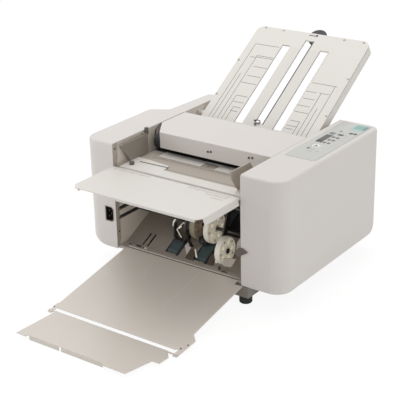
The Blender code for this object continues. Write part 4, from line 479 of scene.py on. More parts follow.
RECIPES = {
    "cover_white": (moulded_plastic, "cover"),
    "painted_white": (powder_coat, "painted"),
    "painted_grey": (powder_coat, "frame", 0.46),
    "dark_steel": (powder_coat, "ramp", 0.42, 0.1),
    "bright_steel": (brushed_steel, "steel"),
    "tray_sheet": (satin_sheet, "tray"),
    "roller_rubber": (ground_rubber, "rubber"),
    "belt_teal": (belt_cloth, "belt"),
    # Stacker wheels: the glow of 0.06 is painted light.
    "wheel_white": (nylon, "wheel", 0.36, 0.06),
    "gear_nylon": (nylon, ("wheel", 0.88), 0.42),
    "black_plastic": (moulded_plastic, "black", 1800.0, 0.00004, 0.48, 0.12),
    "black_rubber": (ground_rubber, ("rubber", 0.45), 0.82),
    "panel_grey": (membrane, "panel"),
    "display_grey": (smoked_window, "display"),
    "board_green": (circuit_card, "board"),
    "pan_grey": (powder_coat, "pan", 0.44),
    "motor_grey": (powder_coat, (118, 120, 123), 0.36, 0.5),
    "start_white": (moulded_plastic, (253, 253, 251), 1200.0, 0.00001, 0.25, 0.05),
    "key_grey": (membrane, (96, 94, 94), 0.42),
    "key_dark": (membrane, (70, 68, 68), 0.42),
    "teal_print": (membrane, "teal", 0.36),
    "teal_dark": (membrane, (104, 136, 128), 0.38),
    "panel_pale": (membrane, (228, 228, 226), 0.36),
    "display_glow": (ink_and_painted_light, (84, 84, 78)),
    "teal_pale": (membrane, (178, 204, 197), 0.38),
    # line_ink: the printed lines, and the painted shadow along the centre slot.
    "line_ink": (ink_and_painted_light, "ink"),
    # pale_ink: pale printed lines and scale marks, and grey lines of painted shade.
    "pale_ink": (ink_and_painted_light, (138, 132, 126)),
    # crease_grey: the tray's creases, painted highlight.
    "crease_grey": (ink_and_painted_light, (250, 244, 236)),
    "dotted_print": (dotted_print, "painted"),
    "screw_steel": (brushed_steel, (150, 147, 142), 0.34, (8.0, 8.0, 8.0)),
    "dark_screw": (brushed_steel, (96, 92, 88), 0.40, (8.0, 8.0, 8.0)),
    "guide_dark": (powder_coat, (64, 60, 54), 0.34, 0.5),
    # Wheel webs and the light strips in the bay: colour raised and a glow of 0.20, painted light
    # that makes up for the shade in the bay.
    "wheel_inner": (nylon, (246, 240, 222), 0.42, 0.20),
    # Left stacker wheel's web: a darker copy of the wheel nylon, painted shade.
    "wheel_brown": (nylon, (150, 132, 118), 0.45),
    "wheel_green": (nylon, (176, 172, 132), 0.5),
    # Left stacker wheel's rim and hub: a darker copy of the wheel nylon, painted shade.
    "rim_grey": (nylon, (158, 154, 132), 0.40),
    "sill_grey": (powder_coat, (186, 177, 168), 0.42),
    "foot_brown": (powder_coat, (92, 80, 70), 0.5),
    # Side frames: the frame grey lightened, painted light for the lower wall, which gets little
    # light.
    "frame_light": (powder_coat, (232, 222, 210), 0.46),
    "stud_brown": (powder_coat, (104, 96, 88), 0.4),
    # Left plate arm: the frame grey darkened, painted shade.
    "arm_grey": (powder_coat, (146, 138, 128), 0.42),
    "lever_grey": (moulded_plastic, (104, 96, 90)),
    "lever_pale": (moulded_plastic, (172, 165, 158)),
    "shadow_grey": (ground_rubber, (52, 49, 46), 0.7),
}


FINISHES = {}


def finish(name):
    """Return the finish of that name, made on first use."""
    if name not in FINISHES:
        maker, base, *settings = RECIPES[name]
        FINISHES[name] = maker(name, tone(base), *settings)
    return FINISHES[name]


def tone(base):
    """Return a recipe's colour: a setting, a setting with a factor, or display values."""
    if isinstance(base, str):
        return getattr(colours(), base)
    if len(base) == 2:
        return dimmed(getattr(colours(), base[0]), base[1])
    return shade(*base)


# Modelling helpers

def rest():
    """Leave edit mode and let go of everything."""
    if bpy.context.mode != "OBJECT":
        bpy.ops.object.mode_set(mode="OBJECT")
    bpy.ops.object.select_all(action="DESELECT")


def choose(obj):
    """Select one object alone and make it the active one."""
    rest()
    obj.select_set(True)
    bpy.context.view_layer.objects.active = obj
    return obj


def added(name, data):
    """Put new data into the scene as an object."""
    obj = bpy.data.objects.new(name, data)
    bpy.context.scene.collection.objects.link(obj)
    return obj


def applied():
    """Put the selected objects' places, turns and scales into their meshes."""
    bpy.ops.object.transform_apply(location=True, rotation=True, scale=True)
    return bpy.context.object


@contextmanager
def editing(obj, start="SELECT"):
    """Open an object in edit mode with everything or nothing selected."""
    choose(obj)
    bpy.ops.object.mode_set(mode="EDIT")
    bpy.ops.mesh.select_all(action=start)
    yield
    bpy.ops.object.mode_set(mode="OBJECT")


def pick(obj, kind, test):
    """In edit mode, select the faces, edges or vertices whose middle passes a test."""
    bpy.ops.mesh.select_mode(type=kind)
    bm = bmesh.from_edit_mesh(obj.data)
    group = {"FACE": bm.faces, "EDGE": bm.edges, "VERT": bm.verts}[kind]
    found = 0
    for item in group:
        corners = [item] if kind == "VERT" else item.verts
        middle = sum((v.co for v in corners), Vector()) / len(corners)
        chosen = bool(test(middle, item))
        item.select_set(chosen)
        found += chosen
    bm.select_flush_mode()
    bmesh.update_edit_mesh(obj.data)
    if not found:
        raise RuntimeError("nothing was found to select on " + obj.name)


def use(obj, kind, **settings):
    """Add a modifier to an object and apply it."""
    choose(obj)
    modifier = obj.modifiers.new(kind.lower(), kind)
    for key, value in settings.items():
        setattr(modifier, key, value)
    bpy.ops.object.modifier_apply(modifier=modifier.name)
    return obj


def clean(obj):
    """Merge doubles and turn the faces outwards."""
    with editing(obj):
        bpy.ops.mesh.remove_doubles(threshold=DOUBLE)
        bpy.ops.mesh.normals_make_consistent(inside=False)
    return obj


def soften(obj, edge, segments=2, sharp=40):
    """Round the edges sharper than an angle in degrees by a radius in millimetres, and smooth."""
    if edge:
        use(obj, "BEVEL", width=edge * MM, segments=segments, limit_method="ANGLE",
            angle_limit=math.radians(sharp), use_clamp_overlap=False)
    choose(obj)
    bpy.ops.object.shade_smooth_by_angle(angle=math.radians(sharp))
    if edge:
        use(obj, "WEIGHTED_NORMAL", keep_sharp=True, weight=FACE_WEIGHT)
    return obj


def settle(obj, plane=MACHINE):
    """Bring a piece from its plane to its place, and put that place into its mesh."""
    obj.matrix_world = plane @ obj.matrix_world
    choose(obj)
    return applied()


def dress(obj, slot, body="machine", *nodes):
    """Give a piece its finish, the body that it rides on and the CAD nodes that it replaces."""
    obj.data.materials.clear()
    obj.data.materials.append(finish(slot))
    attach(obj, body)
    slot in RECORD_SLOTS
    for node in nodes:
        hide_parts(node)
    return obj


def join(name, pieces):
    """Join pieces into one object under a new name."""
    rest()
    for piece in pieces:
        piece.select_set(True)
    bpy.context.view_layer.objects.active = pieces[0]
    bpy.ops.object.join()
    pieces[0].name = name
    pieces[0].data.name = name
    return pieces[0]


def block(name, low, high, plane=MACHINE, edge=0.3):
    """Make a block between two corners in millimetres, with round edges."""
    low, high = Vector(low), Vector(high)
    rest()
    bpy.ops.mesh.primitive_cube_add(size=1.0, location=(low + high) / 2 * MM,
                                    scale=[abs(v) * MM for v in high - low])
    obj = applied()
    obj.name = name
    if edge:
        with editing(obj):
            bpy.ops.mesh.bevel(offset=edge * MM, segments=2, affect="EDGES")
    return settle(soften(obj, 0, sharp=35), plane)


def plate(name, outline, low, high, plane=MACHINE, holes=(), edge=0.0, turn=None):
    """Cut a sheet from an outline with holes, in millimetres, between two levels."""
    sheet = bpy.data.curves.new(name, "CURVE")
    sheet.dimensions = "2D"
    sheet.fill_mode = "BOTH"
    sheet.extrude = abs(high - low) / 2 * MM
    for loop in (outline, *holes):
        spline = sheet.splines.new("POLY")
        spline.points.add(len(loop) - 1)
        for point, (a, b) in zip(spline.points, loop):
            point.co = (a * MM, b * MM, 0.0, 1.0)
        spline.use_cyclic_u = True
    choose(added(name, sheet))
    bpy.ops.object.convert(target="MESH")
    obj = bpy.context.object
    obj.data.transform(Matrix.Translation((0, 0, (low + high) / 2 * MM)))
    clean(obj)
    if turn is not None:
        obj.data.transform(turn)
    soften(obj, edge)
    return settle(obj, plane)


def side_plate(name, outline, low, high, holes=(), edge=0.0):
    """Cut a sheet that faces right from a (y, z) outline, between two x places."""
    return plate(name, outline, low, high, MACHINE, holes, edge, FACING_RIGHT)


def front_plate(name, outline, near, far, holes=(), edge=0.0):
    """Cut a sheet that faces the operator from an (x, z) outline, between two y places."""
    return plate(name, outline, -far, -near, MACHINE, holes, edge, FACING_FRONT)


def rectangle(x0, y0, x1, y1, radius=0.0):
    """Return a rectangle's outline, with round corners if a radius is given."""
    if not radius:
        return [(x0, y0), (x1, y0), (x1, y1), (x0, y1)]
    points = []
    for cx, cy, start in ((x1 - radius, y1 - radius, 0), (x0 + radius, y1 - radius, 90),
                          (x0 + radius, y0 + radius, 180), (x1 - radius, y0 + radius, 270)):
        for i in range(CORNER_STEPS + 1):
            turn = math.radians(start + 90 * i / CORNER_STEPS)
            points.append((cx + radius * math.cos(turn), cy + radius * math.sin(turn)))
    return points


def disc(x, y, radius, steps=24):
    """Return a circle's outline."""
    return [(x + radius * math.cos(a), y + radius * math.sin(a))
            for a in (math.tau * i / steps for i in range(steps))]


def strokes(name, lines, plane=MACHINE, width=None):
    """Lay thin lines on a plane, both printed lines and lines of painted shade and highlight, each
    from one (x, y) in millimetres to another.
    """
    broad = width * MM if width else sizes().line_width
    pieces = []
    for x0, y0, x1, y1 in lines:
        run = math.hypot(x1 - x0, y1 - y0) * MM
        rest()
        bpy.ops.mesh.primitive_plane_add(
            size=1.0, location=((x0 + x1) / 2 * MM, (y0 + y1) / 2 * MM, STROKE_LIFT * MM),
            rotation=(0, 0, math.atan2(y1 - y0, x1 - x0)))
        bpy.context.object.scale = (run + broad, broad, 1.0)
        pieces.append(bpy.context.object)
    obj = join(name, pieces)
    applied()
    use(obj, "SOLIDIFY", thickness=STROKE_THICKNESS * MM, offset=1.0)
    return settle(obj, plane)


def turned(name, profile, centre):
    """Spin a closed (x, radius) profile in millimetres about an X axis through (y, z)."""
    y, z = centre
    mesh = bpy.data.meshes.new(name)
    points = [(x * MM, y * MM, (z + radius) * MM) for x, radius in profile]
    count = len(points)
    mesh.from_pydata(points, [(i, (i + 1) % count) for i in range(count)], [])
    obj = added(name, mesh)
    with editing(obj):
        bpy.ops.mesh.spin(steps=sizes().ring_steps, angle=math.tau,
                          center=(0, y * MM, z * MM), axis=(1, 0, 0))
    clean(obj)
    return settle(soften(obj, 0, sharp=35))


def wire(name, points, radius, plane=MACHINE, smooth=True):
    """Bend round wire through points in millimetres."""
    path = bpy.data.curves.new(name, "CURVE")
    path.dimensions = "3D"
    path.bevel_depth = radius * MM
    path.bevel_resolution = 3
    path.use_fill_caps = True
    spline = path.splines.new("NURBS" if smooth else "POLY")
    spline.points.add(len(points) - 1)
    for point, place in zip(spline.points, points):
        point.co = (*[v * MM for v in place], 1.0)
    if smooth:
        spline.order_u = 3
        spline.use_endpoint_u = True
        spline.resolution_u = 6
    choose(added(name, path))
    bpy.ops.object.convert(target="MESH")
    return settle(soften(clean(bpy.context.object), 0, sharp=45), plane)


def head(name, radius, rise, socket=True):
    """Make one screw or rivet head that stands on the XY plane, in millimetres."""
    rest()
    bpy.ops.mesh.primitive_cylinder_add(vertices=18, radius=radius * MM, depth=rise * MM,
                                        location=(0, 0, rise / 2 * MM))
    obj = applied()
    obj.name = name
    with editing(obj, "DESELECT"):
        pick(obj, "FACE", lambda c, f: f.normal.z > 0.9)
        bpy.ops.mesh.bevel(offset=rise * 0.45 * MM, segments=2, affect="EDGES")
        if socket:
            pick(obj, "FACE", lambda c, f: f.normal.z > 0.99 and c.z > rise * 0.9 * MM)
            bpy.ops.mesh.inset(thickness=radius * 0.42 * MM, depth=0.0)
            bpy.ops.mesh.inset(thickness=radius * 0.06 * MM, depth=-rise * 0.5 * MM)
    return soften(obj, 0)


def scatter(name, prototype, places, slot, body="machine"):
    """Copy a small piece to several matrices, join the copies and drop the prototype."""
    copies = []
    for place in places:
        copy = prototype.copy()
        copy.data = prototype.data.copy()
        bpy.context.scene.collection.objects.link(copy)
        copies.append(settle(copy, place))
    bpy.data.objects.remove(prototype)
    return dress(join(name, copies), slot, body)


def spot(x, y, z, facing="up"):
    """Return the matrix of a place whose outward side faces up, left, right, front or rear."""
    turn = math.pi / 2
    turns = {"up": (0.0, "X"), "left": (-turn, "Y"), "right": (turn, "Y"), "front": (turn, "X"),
             "rear": (-turn, "X")}
    return plane_at(x, y, z) @ Matrix.Rotation(turns[facing][0], 4, turns[facing][1])


def on_plane(plane, x, y, z=0.0):
    """Return the matrix of a place on a plane, in millimetres."""
    return plane @ Matrix.Translation(Vector((x, y, z)) * MM)


def refined(node, slot, edge=0.0, segments=2, sharp=40):
    """Stand a softened copy of a CAD node in for it."""
    source = frame["nodes"][node]
    piece = source.copy()
    piece.data = source.data.copy()
    del piece["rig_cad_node"]
    piece.parent = None
    piece.name = node + "_finished"
    bpy.context.scene.collection.objects.link(piece)
    choose(piece)
    if piece.data.has_custom_normals:
        bpy.ops.mesh.customdata_custom_splitnormals_clear()
    with editing(piece):
        bpy.ops.mesh.remove_doubles(threshold=DOUBLE)
        bpy.ops.mesh.dissolve_limited(angle_limit=math.radians(FLAT))
    soften(piece, edge, segments, sharp)
    return dress(piece, slot, source["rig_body"], node)


def repainted(slot, *nodes):
    """Keep CAD nodes as they are and give them a better material."""
    for node in nodes:
        obj = frame["nodes"][node]
        obj.data.materials.clear()
        obj.data.materials.append(finish(slot))


# Operators

class FolderOperator:
    """Shared settings of the operators below."""
    bl_options = {"REGISTER", "UNDO"}


class FOLDER_OT_stage(FolderOperator, bpy.types.Operator):
    """Make the pale floor, the soft light, the white surroundings and the camera"""
    bl_idname = "folder.stage"
    bl_label = "Stage"

    def execute(self, context):
        studio = context.scene.folder_studio
        make_world(context.scene, studio)
        make_floor()
        for name, place, aim, size in LAMPS:
            make_lamp(name + "_lamp", place, aim, size, getattr(studio, name))
        make_camera(context.scene, studio)
        context.scene.view_settings.view_transform = "Standard"
        return {"FINISHED"}


def seen_directly(paint):
    """Return 1 for the rays that should meet a white surrounding."""
    total = None
    for ray in ("Is Camera Ray", "Is Glossy Ray", "Is Transmission Ray"):
        value = paint.node("ShaderNodeLightPath", output=ray)
        total = value if total is None else total + value
    return paint.node("ShaderNodeClamp", None, {0: total})


class Surroundings(Paint):
    """A node tree without a surface shader of its own."""

    def __init__(self, tree):
        self.tree = tree
        tree.nodes.clear()


def make_world(scene, studio):
    """Light the scene evenly from all round, and show white behind it."""
    world = bpy.data.worlds.new("studio_world")
    world.use_nodes = True
    scene.world = world
    sky = Surroundings(world.node_tree)
    light = sky.node("ShaderNodeBackground", None,
                     {"Color": (1.0, 0.995, 0.985, 1.0), "Strength": studio.sky})
    white = sky.node("ShaderNodeBackground", None, {"Color": (1, 1, 1, 1), "Strength": 1.0})
    both = sky.node("ShaderNodeMixShader", None, {0: seen_directly(sky), 1: light, 2: white})
    output = world.node_tree.nodes.new("ShaderNodeOutputWorld")
    world.node_tree.links.new(both.socket, output.inputs["Surface"])


def make_floor():
    """Lay a pale floor that keeps the machine's shadow and runs out to white."""
    rest()
    bpy.ops.mesh.primitive_plane_add(size=FLOOR_SIZE, location=(0, 0, 0))
    floor = bpy.context.object
    floor.name = "studio_floor"
    paint = Paint("studio_floor", 0.9)
    paint.colour(shade(244, 244, 243))
    glow = paint.node("ShaderNodeEmission", None, {"Color": (1, 1, 1, 1), "Strength": FLOOR_GLOW})
    surface = Value(paint, paint.shader.outputs[0])
    both = paint.node("ShaderNodeMixShader", None,
                      {0: seen_directly(paint) * FLOOR_WHITE, 1: surface, 2: glow})
    paint.tree.links.new(both.socket, paint.tree.nodes["Material Output"].inputs["Surface"])
    floor.data.materials.append(paint.material)


def make_lamp(name, place, aim, size, power):
    """Hang a square lamp at a place and point it at another."""
    rest()
    bpy.ops.object.light_add(type="AREA", location=place)
    lamp = bpy.context.object
    lamp.name = name
    lamp.rotation_euler = (Vector(aim) - Vector(place)).to_track_quat("-Z", "Y").to_euler()
    lamp.data.shape = "SQUARE"
    lamp.data.size = size
    lamp.data.energy = power


def make_camera(scene, studio):
    """Set the camera where the photograph was taken from."""
    a, e, r = studio.azimuth, studio.elevation, studio.roll
    back = Vector((math.sin(a) * math.cos(e), -math.cos(a) * math.cos(e), math.sin(e)))
    level = Vector((math.cos(a), math.sin(a), 0.0))
    rise = back.cross(level)
    right = level * math.cos(r) + rise * math.sin(r)
    up = rise * math.cos(r) - level * math.sin(r)
    place = DATUM + back * studio.distance + right * studio.aim_right - up * studio.aim_down
    rest()
    bpy.ops.object.camera_add(location=place)
    camera = bpy.context.object
    camera.name = "studio_camera"
    turn = Matrix((right, up, back)).transposed().to_4x4()
    camera.matrix_world = Matrix.Translation(place) @ turn
    camera.data.lens = studio.lens
    camera.data.sensor_width = 36.0
    camera.data.shift_x, camera.data.shift_y = FRAME_SHIFT
    camera.data.clip_start = 0.05
    camera.data.clip_end = 50.0
    scene.camera = camera


class FOLDER_OT_covers(FolderOperator, bpy.types.Operator):
    """Finish the two moulded side covers and the grey returns along their front edges"""
    bl_idname = "folder.covers"
    bl_label = "Side covers"

    def execute(self, context):
        edge = sizes().cover_edge / MM
        refined("right_cover", "cover_white", edge, 3, 50)
        repainted("cover_white", "left_cover")
        for side, body in ((-1, "left"), (1, "right")):
            inner = side * BAY
            low, high = sorted((inner, inner - side * 0.5))
            rim = [(0.6, -0.8), (17, -0.8), (17, -38), (14, -44), (14, -236), (8, -252),
                   (0.6, -252)]
            dress(side_plate(body + "_cover_return", rim, low, high, edge=0.12), "painted_grey")
        return {"FINISHED"}


class FOLDER_OT_control_panel(FolderOperator, bpy.types.Operator):
    """Make the overlay, the display, the keys, the start button and the coloured field"""
    bl_idname = "folder.control_panel"
    bl_label = "Control panel"

    KEYS = ((221.5, 262, 7.5, 8), (232, 262, 7.5, 8), (222.5, 282, 7.5, 8), (232.5, 282.5, 7.5, 8),
            (221.5, 303, 8, 8), (232.5, 302, 7.5, 8), (209.5, 213, 6.5, 9))
    DARK_KEYS = ((228, 324, 13, 9), (243.5, 344.5, 9, 9), (253.5, 345.5, 8, 9), (216.5, 347, 7, 4))
    LINES = ((190, 407, 210, 409), (190, 407, 190, 366), (194, 396, 208, 397),
             (194, 388, 204, 389), (196, 243, 206, 243), (236, 325, 244, 325))
    # MARKS: grey streaks round the start button, painted shadow.
    MARKS = ((208, 226, 206, 234), (219, 208, 226, 214), (218, 196, 226, 198), (233, 203, 240, 205))
    PALE_MARKS = ((240, 263, 246, 263), (240, 283, 247, 283), (239, 304, 245, 304),
                  (217, 268, 217, 312), (220, 340, 226, 352))

    def execute(self, context):
        refined("control_panel", "panel_grey", 0.25)
        refined("display_lens", "display_grey", 0.2)
        refined("start_button", "start_white", 0.5, 3)
        top = PANEL_TOP
        face = on_plane(MACHINE, 0, 0, top)
        for name, slot, places in (("panel_keys", "key_grey", self.KEYS),
                                   ("panel_dark_keys", "key_dark", self.DARK_KEYS)):
            keys = [plate("key", self.key(place), top, top + 0.5, edge=0.18) for place in places]
            dress(join(name, keys), slot)
        borders = [plate("border", self.key(place, 0.7, 1.9), top, top + 0.12)
                   for place in self.KEYS + self.DARK_KEYS]
        dress(join("panel_key_borders", borders), "panel_pale")
        lamp = plate("panel_lamp_frame", rectangle(200.5, 318, 213.5, 331, 1.5), top, top + 0.14,
                     holes=[rectangle(202.5, 320, 211.5, 329, 1.0)])
        dress(lamp, "key_dark")
        for name, slot, outline, low, high in (
                ("panel_lamp_field", "key_grey", rectangle(204, 321.5, 210, 327.5, 1.0), 0, 0.1),
                ("panel_field_border", "teal_pale", rectangle(226, 366, 261, 408, 3.0), 0, 0.1),
                ("panel_field", "teal_print", rectangle(230, 378, 258.5, 404, 2.0), 0, 0.16),
                ("panel_field_shade", "teal_dark", rectangle(253, 378, 259, 403, 1.0), 0.16, 0.22)):
            dress(plate(name, outline, top + low, top + high), slot)
        for name, slot, width, lines in (("panel_lines", "pale_ink", 0.6, self.LINES),
                                         ("panel_marks", "pale_ink", 1.4, self.MARKS),
                                         ("panel_pale_marks", "panel_pale", 1.2, self.PALE_MARKS)):
            dress(strokes(name, lines, face, width), slot)
        ring = plate("start_ring", disc(*START, 10.4, 32), top, top + 0.3,
                     holes=[disc(*START, 8.6, 32)], edge=0.1)
        dress(ring, "start_white")
        symbol = plate("start_symbol", [(214, 224.5), (224.5, 228.5), (217.5, 236.0)], top + 1.4,
                       top + 1.5)
        dress(symbol, "key_dark", "start_button")
        rows = [(202.5, 260 + 4.4 * i, 211.5, 260 + 4.4 * i) for i in range(12)]
        dress(strokes("display_rows", rows, face, 0.9), "display_glow")
        return {"FINISHED"}

    @staticmethod
    def key(place, margin=0, corner=1.5):
        """Return a key's outline, or its border's with a margin."""
        x, y, wide, deep = place
        return rectangle(x - wide / 2 - margin, y - deep / 2 - margin, x + wide / 2 + margin,
                         y + deep / 2 + margin, corner)


class FOLDER_OT_feed_table(FolderOperator, bpy.types.Operator):
    """Finish the sloping table: its printed format lines, rivets, hook, brackets and knob"""
    bl_idname = "folder.feed_table"
    bl_label = "Feed table"

    LEFT_LINES = ((-139, 218, -139, -30), (-139, 218, -69, 218), (-128, 117, -128, -30),
                  (-114, 181, -114, -30), (-102, 48, -102, -30), (-90, 12, -90, -30),
                  (-131, 174, -114, 174), (-114, 181, -66, 181), (-114, 176, -66, 176),
                  (-105, 145, -66, 145), (-106, 114, -68, 114), (-112, 90, -68, 90),
                  (-102, 48, -70, 48), (-99, 28, -70, 28), (-90, 12, -70, 12), (-92, -1, -72, -1))
    RIGHT_LINES = ((74, 127, 141, 127), (137, 127, 137, -34), (112, 100, 112, -33),
                   (124, 54, 124, -33), (101, 7, 101, -33), (72, 99, 99, 99), (108, 100, 134, 100),
                   (74, 77, 105, 77), (71, 54, 103, 54), (73, 34, 109, 34), (76, 6, 101, 6),
                   (73, -10, 100, -10), (72, -19, 94, -19))
    SLOT_LINES = ((-63.2, 228, -63.2, -33), (-63.2, 228, -43, 228), (-9.2, 253.2, 14.2, 253.2),
                  (-9.2, 253.2, -9.2, -22), (14.2, 253.2, 14.2, -22), (45.3, 228, 45.3, -33),
                  (45.3, 228, 68, 228))
    RIVETS = ((-139, 276), (-85, 275), (90, 274), (143, 275), (-157, 158), (-157, 41),
              (157, 156), (157, 38))

    def execute(self, context):
        refined("feed_table", "painted_white", 0.35)
        refined("skew_knob", "black_plastic", 0.6, 3)
        for side in ("left", "right"):
            refined(side + "_table_bracket", "painted_white", 0.4)
        dress(strokes("table_format_lines", self.LEFT_LINES + self.RIGHT_LINES, TABLE), "line_ink")
        dress(strokes("table_slot_lines", self.SLOT_LINES, TABLE, 1.2), "line_ink")
        # A dark line along the centre slot's right edge: painted shadow of the sheet's edge.
        dress(strokes("table_slot_edge", [(13.0, 252, 13.0, -22)], TABLE, 2.4), "line_ink")
        # A grey line along the table's right flange: painted shade.
        edges = [(162.4, 258, 162.4, -10)]
        dress(strokes("table_edge_line", edges, TABLE, 0.9), "pale_ink")
        ticks = [(67.0, 38 + 6 * i, 70.4 + 1.6 * (i % 5 == 0), 38 + 6 * i) for i in range(32)]
        dress(strokes("table_ticks", ticks, TABLE, 0.8), "pale_ink")
        for side, low, high in (("left", -40, -10.6), ("right", 15.6, 44)):
            dress(plate("table_dots_" + side, rectangle(low, -28, high, 226), 0.02, 0.08, TABLE),
                  "dotted_print")
        dress(plate("table_slit", rectangle(-9, 270.8, 16, 273.4, 1.2), 0.0, 0.15, TABLE),
              "line_ink")
        radius = sizes().rivet_radius / MM
        places = [on_plane(TABLE, x, u) for x, u in self.RIVETS]
        scatter("table_rivets", head("rivet", radius, 0.9, False), places, "screw_steel")
        self.make_hook()
        self.make_stay()
        ridges = [on_plane(TABLE, x, u, KNOB_DROP) for x, u in disc(*KNOB, KNOB_RIBS)]
        rest()
        bpy.ops.mesh.primitive_cube_add(size=1.0, scale=KNOB_RIB,
                                        location=(0, 0, 0.0055))
        rib = applied()
        with editing(rib, "DESELECT"):
            pick(rib, "FACE", lambda c, f: abs(f.normal.z) > 0.9)
            bpy.ops.transform.resize(value=(0.55, 0.55, 1.0))
        scatter("knob_ribs", rib, ridges, "black_plastic", "skew_knob")
        return {"FINISHED"}

    def make_hook(self):
        """Bend the dark double hook at the foot of the table."""
        points = [(-14, -15, 1.2), (-12, -17, 2.2), (-6, -15, 3.2), (0, -15, 3.4), (5, -17, 3.0),
                  (5, -21, 2.6), (-1, -23, 2.4), (-7, -24, 2.2), (-8, -27, 1.8), (-2, -29, 1.4)]
        dress(wire("table_hook", points, 1.3, TABLE), "dark_screw")

    def make_stay(self):
        """Fold the white stay that stands at the left wall beside the table."""
        outline = [(333, -23), (351, -23), (351, -9), (347, -6), (337, -6), (333, -10)]
        stay = side_plate("table_stay", outline, -171.6, -169.6, holes=[disc(342, -13, 2.4, 16)],
                          edge=0.3)
        dress(stay, "painted_white")


class FOLDER_OT_lid(FolderOperator, bpy.types.Operator):
    """Finish the lid over the rollers, its latches, a painted shadow along its side gap and the
    screws on its skirt
    """
    bl_idname = "folder.lid"
    bl_label = "Lid"

    def execute(self, context):
        refined("top_cover", "cover_white", 0.8, 3, 50)
        for side in ("left", "right"):
            refined(side + "_latch", "dark_steel", 0.5)
        screws = ((4, -21), (12, -19.5), (114, -13), (123, -11.5))
        places = [spot(x, 121.0, z, "front") for x, z in screws]
        # A dark strip along the gap beside the lid: painted shadow.
        gap = plate("lid_gap_line", rectangle(-171.8, 184, -170.0, 268), -0.1, 0.25)
        dress(gap, "stud_brown", "lid")
        scatter("skirt_screws", head("skirt_screw", sizes().screw_radius / MM, 1.3), places,
                "dark_screw", "lid")
        return {"FINISHED"}


class FOLDER_OT_upper_table(FolderOperator, bpy.types.Operator):
    """Finish the folding upper table, its scale marks, its pins and its rod"""
    bl_idname = "folder.upper_table"
    bl_label = "Upper table"

    def execute(self, context):
        refined("upper_table", "painted_white", 0.35)
        refined("upper_table_rod", "bright_steel", 0.3)
        top = on_plane(MACHINE, 0, 0, UPPER_TOP)
        marks = []
        for start, count in ((-156, 20), (48, 22)):
            for i in range(count):
                x = start + i * 5
                marks.append((x, -7, x, -7 - (9 if i % 5 == 0 else 5)))
        marks += [(100, -20, 152, -20), (118, -32, 150, -32)]
        dress(strokes("upper_table_scale", marks, top, 1.1), "pale_ink", "upper_table")
        pins = [spot(-171.0, -2.5, -60, "left"), spot(171.0, -2.5, -60, "right")]
        scatter("upper_table_pins", head("table_pin", 3.4, 1.2), pins, "screw_steel", "upper_table")
        return {"FINISHED"}


class FOLDER_OT_fold_recess(FolderOperator, bpy.types.Operator):
    """Finish the fold plate behind the upper table, its arms, spring, lever and wall screws"""
    bl_idname = "folder.fold_recess"
    bl_label = "Fold plate recess"

    def execute(self, context):
        refined("entry_strip", "painted_white", 0.3)
        refined("first_fold_plate", "painted_grey", 0.4)
        refined("paper_deflector", "painted_white", 0.3)
        # The left arm is darker than the right one: painted shade.
        refined("left_plate_arm", "arm_grey", 0.4)
        refined("right_plate_arm", "painted_grey", 0.4)
        # The side frames take a lightened grey: painted light.
        for side in ("left", "right"):
            refined(side + "_side_frame", "frame_light", 0.3)
        level = on_plane(MACHINE, 0, 0, UPPER_TOP)
        ridge = [(-138.5, 54.5), (-60.5, 57.3), (-64, 64), (-142.5, 61.5)]
        dress(plate("recess_ridge", ridge, 0.3, 1.3, level, edge=0.3), "painted_white")
        # A dark strip beneath the ridge: painted shadow in the gap.
        shadow = [(-138.5, 52.4), (-60, 55.2), (-60.5, 57.3), (-138.5, 54.5)]
        dress(plate("recess_slot", shadow, 0.2, 0.5, level), "shadow_grey")
        seams = [(-160, 36.5, 172, 36.5), (-60, 50, 142, 50), (-135, 96, 142, 96)]
        dress(strokes("recess_seams", seams, on_plane(MACHINE, 0, 0, UPPER_TOP - 1.5), 0.5),
              "shadow_grey")
        spring = [(-2, 128, -52), (4, 112, -49), (9, 107, -48), (13, 116, -50), (17, 130, -53)]
        dress(wire("recess_spring", spring, 0.7), "bright_steel")
        other = [(12, 131, -54), (20, 119, -49), (25, 110, -48), (28, 120, -51)]
        dress(wire("recess_spring_end", other, 0.7), "bright_steel")
        lever = plate("recess_lever", [(126, 74), (134, 70), (142, 76), (142, 86), (130, 84)],
                      -51.8, -49.6, edge=0.4)
        dress(lever, "painted_white")
        walls = [spot(0.5 - BAY, y, z, "right") for y, z in ((8, -14), (8, -112), (9, -217))]
        walls += [spot(BAY - 0.5, y, z, "left") for y, z in ((8, -14), (9, -217))]
        scatter("wall_screws", head("wall_screw", 2.2, 0.8), walls, "dark_screw")
        for name, place, low, high, edge in (("lid_stud", (-166.3, 116, 4.8), -10, 6.5, 0.7),
                                             ("plate_knob", (-143, 31, 5.8), -51.8, -45.5, 0.9)):
            dress(plate(name, disc(*place), low, high, edge=edge), "stud_brown")
        # A dark strip on the left wall along the lid's end: painted shade.
        edge = [(182, 0.3), (179.4, 0.3), (155, -12), (152, -26), (155, -26), (157.8, -12.6)]
        dress(side_plate("lid_end_line", edge, -171.9, -171.0), "stud_brown")
        return {"FINISHED"}


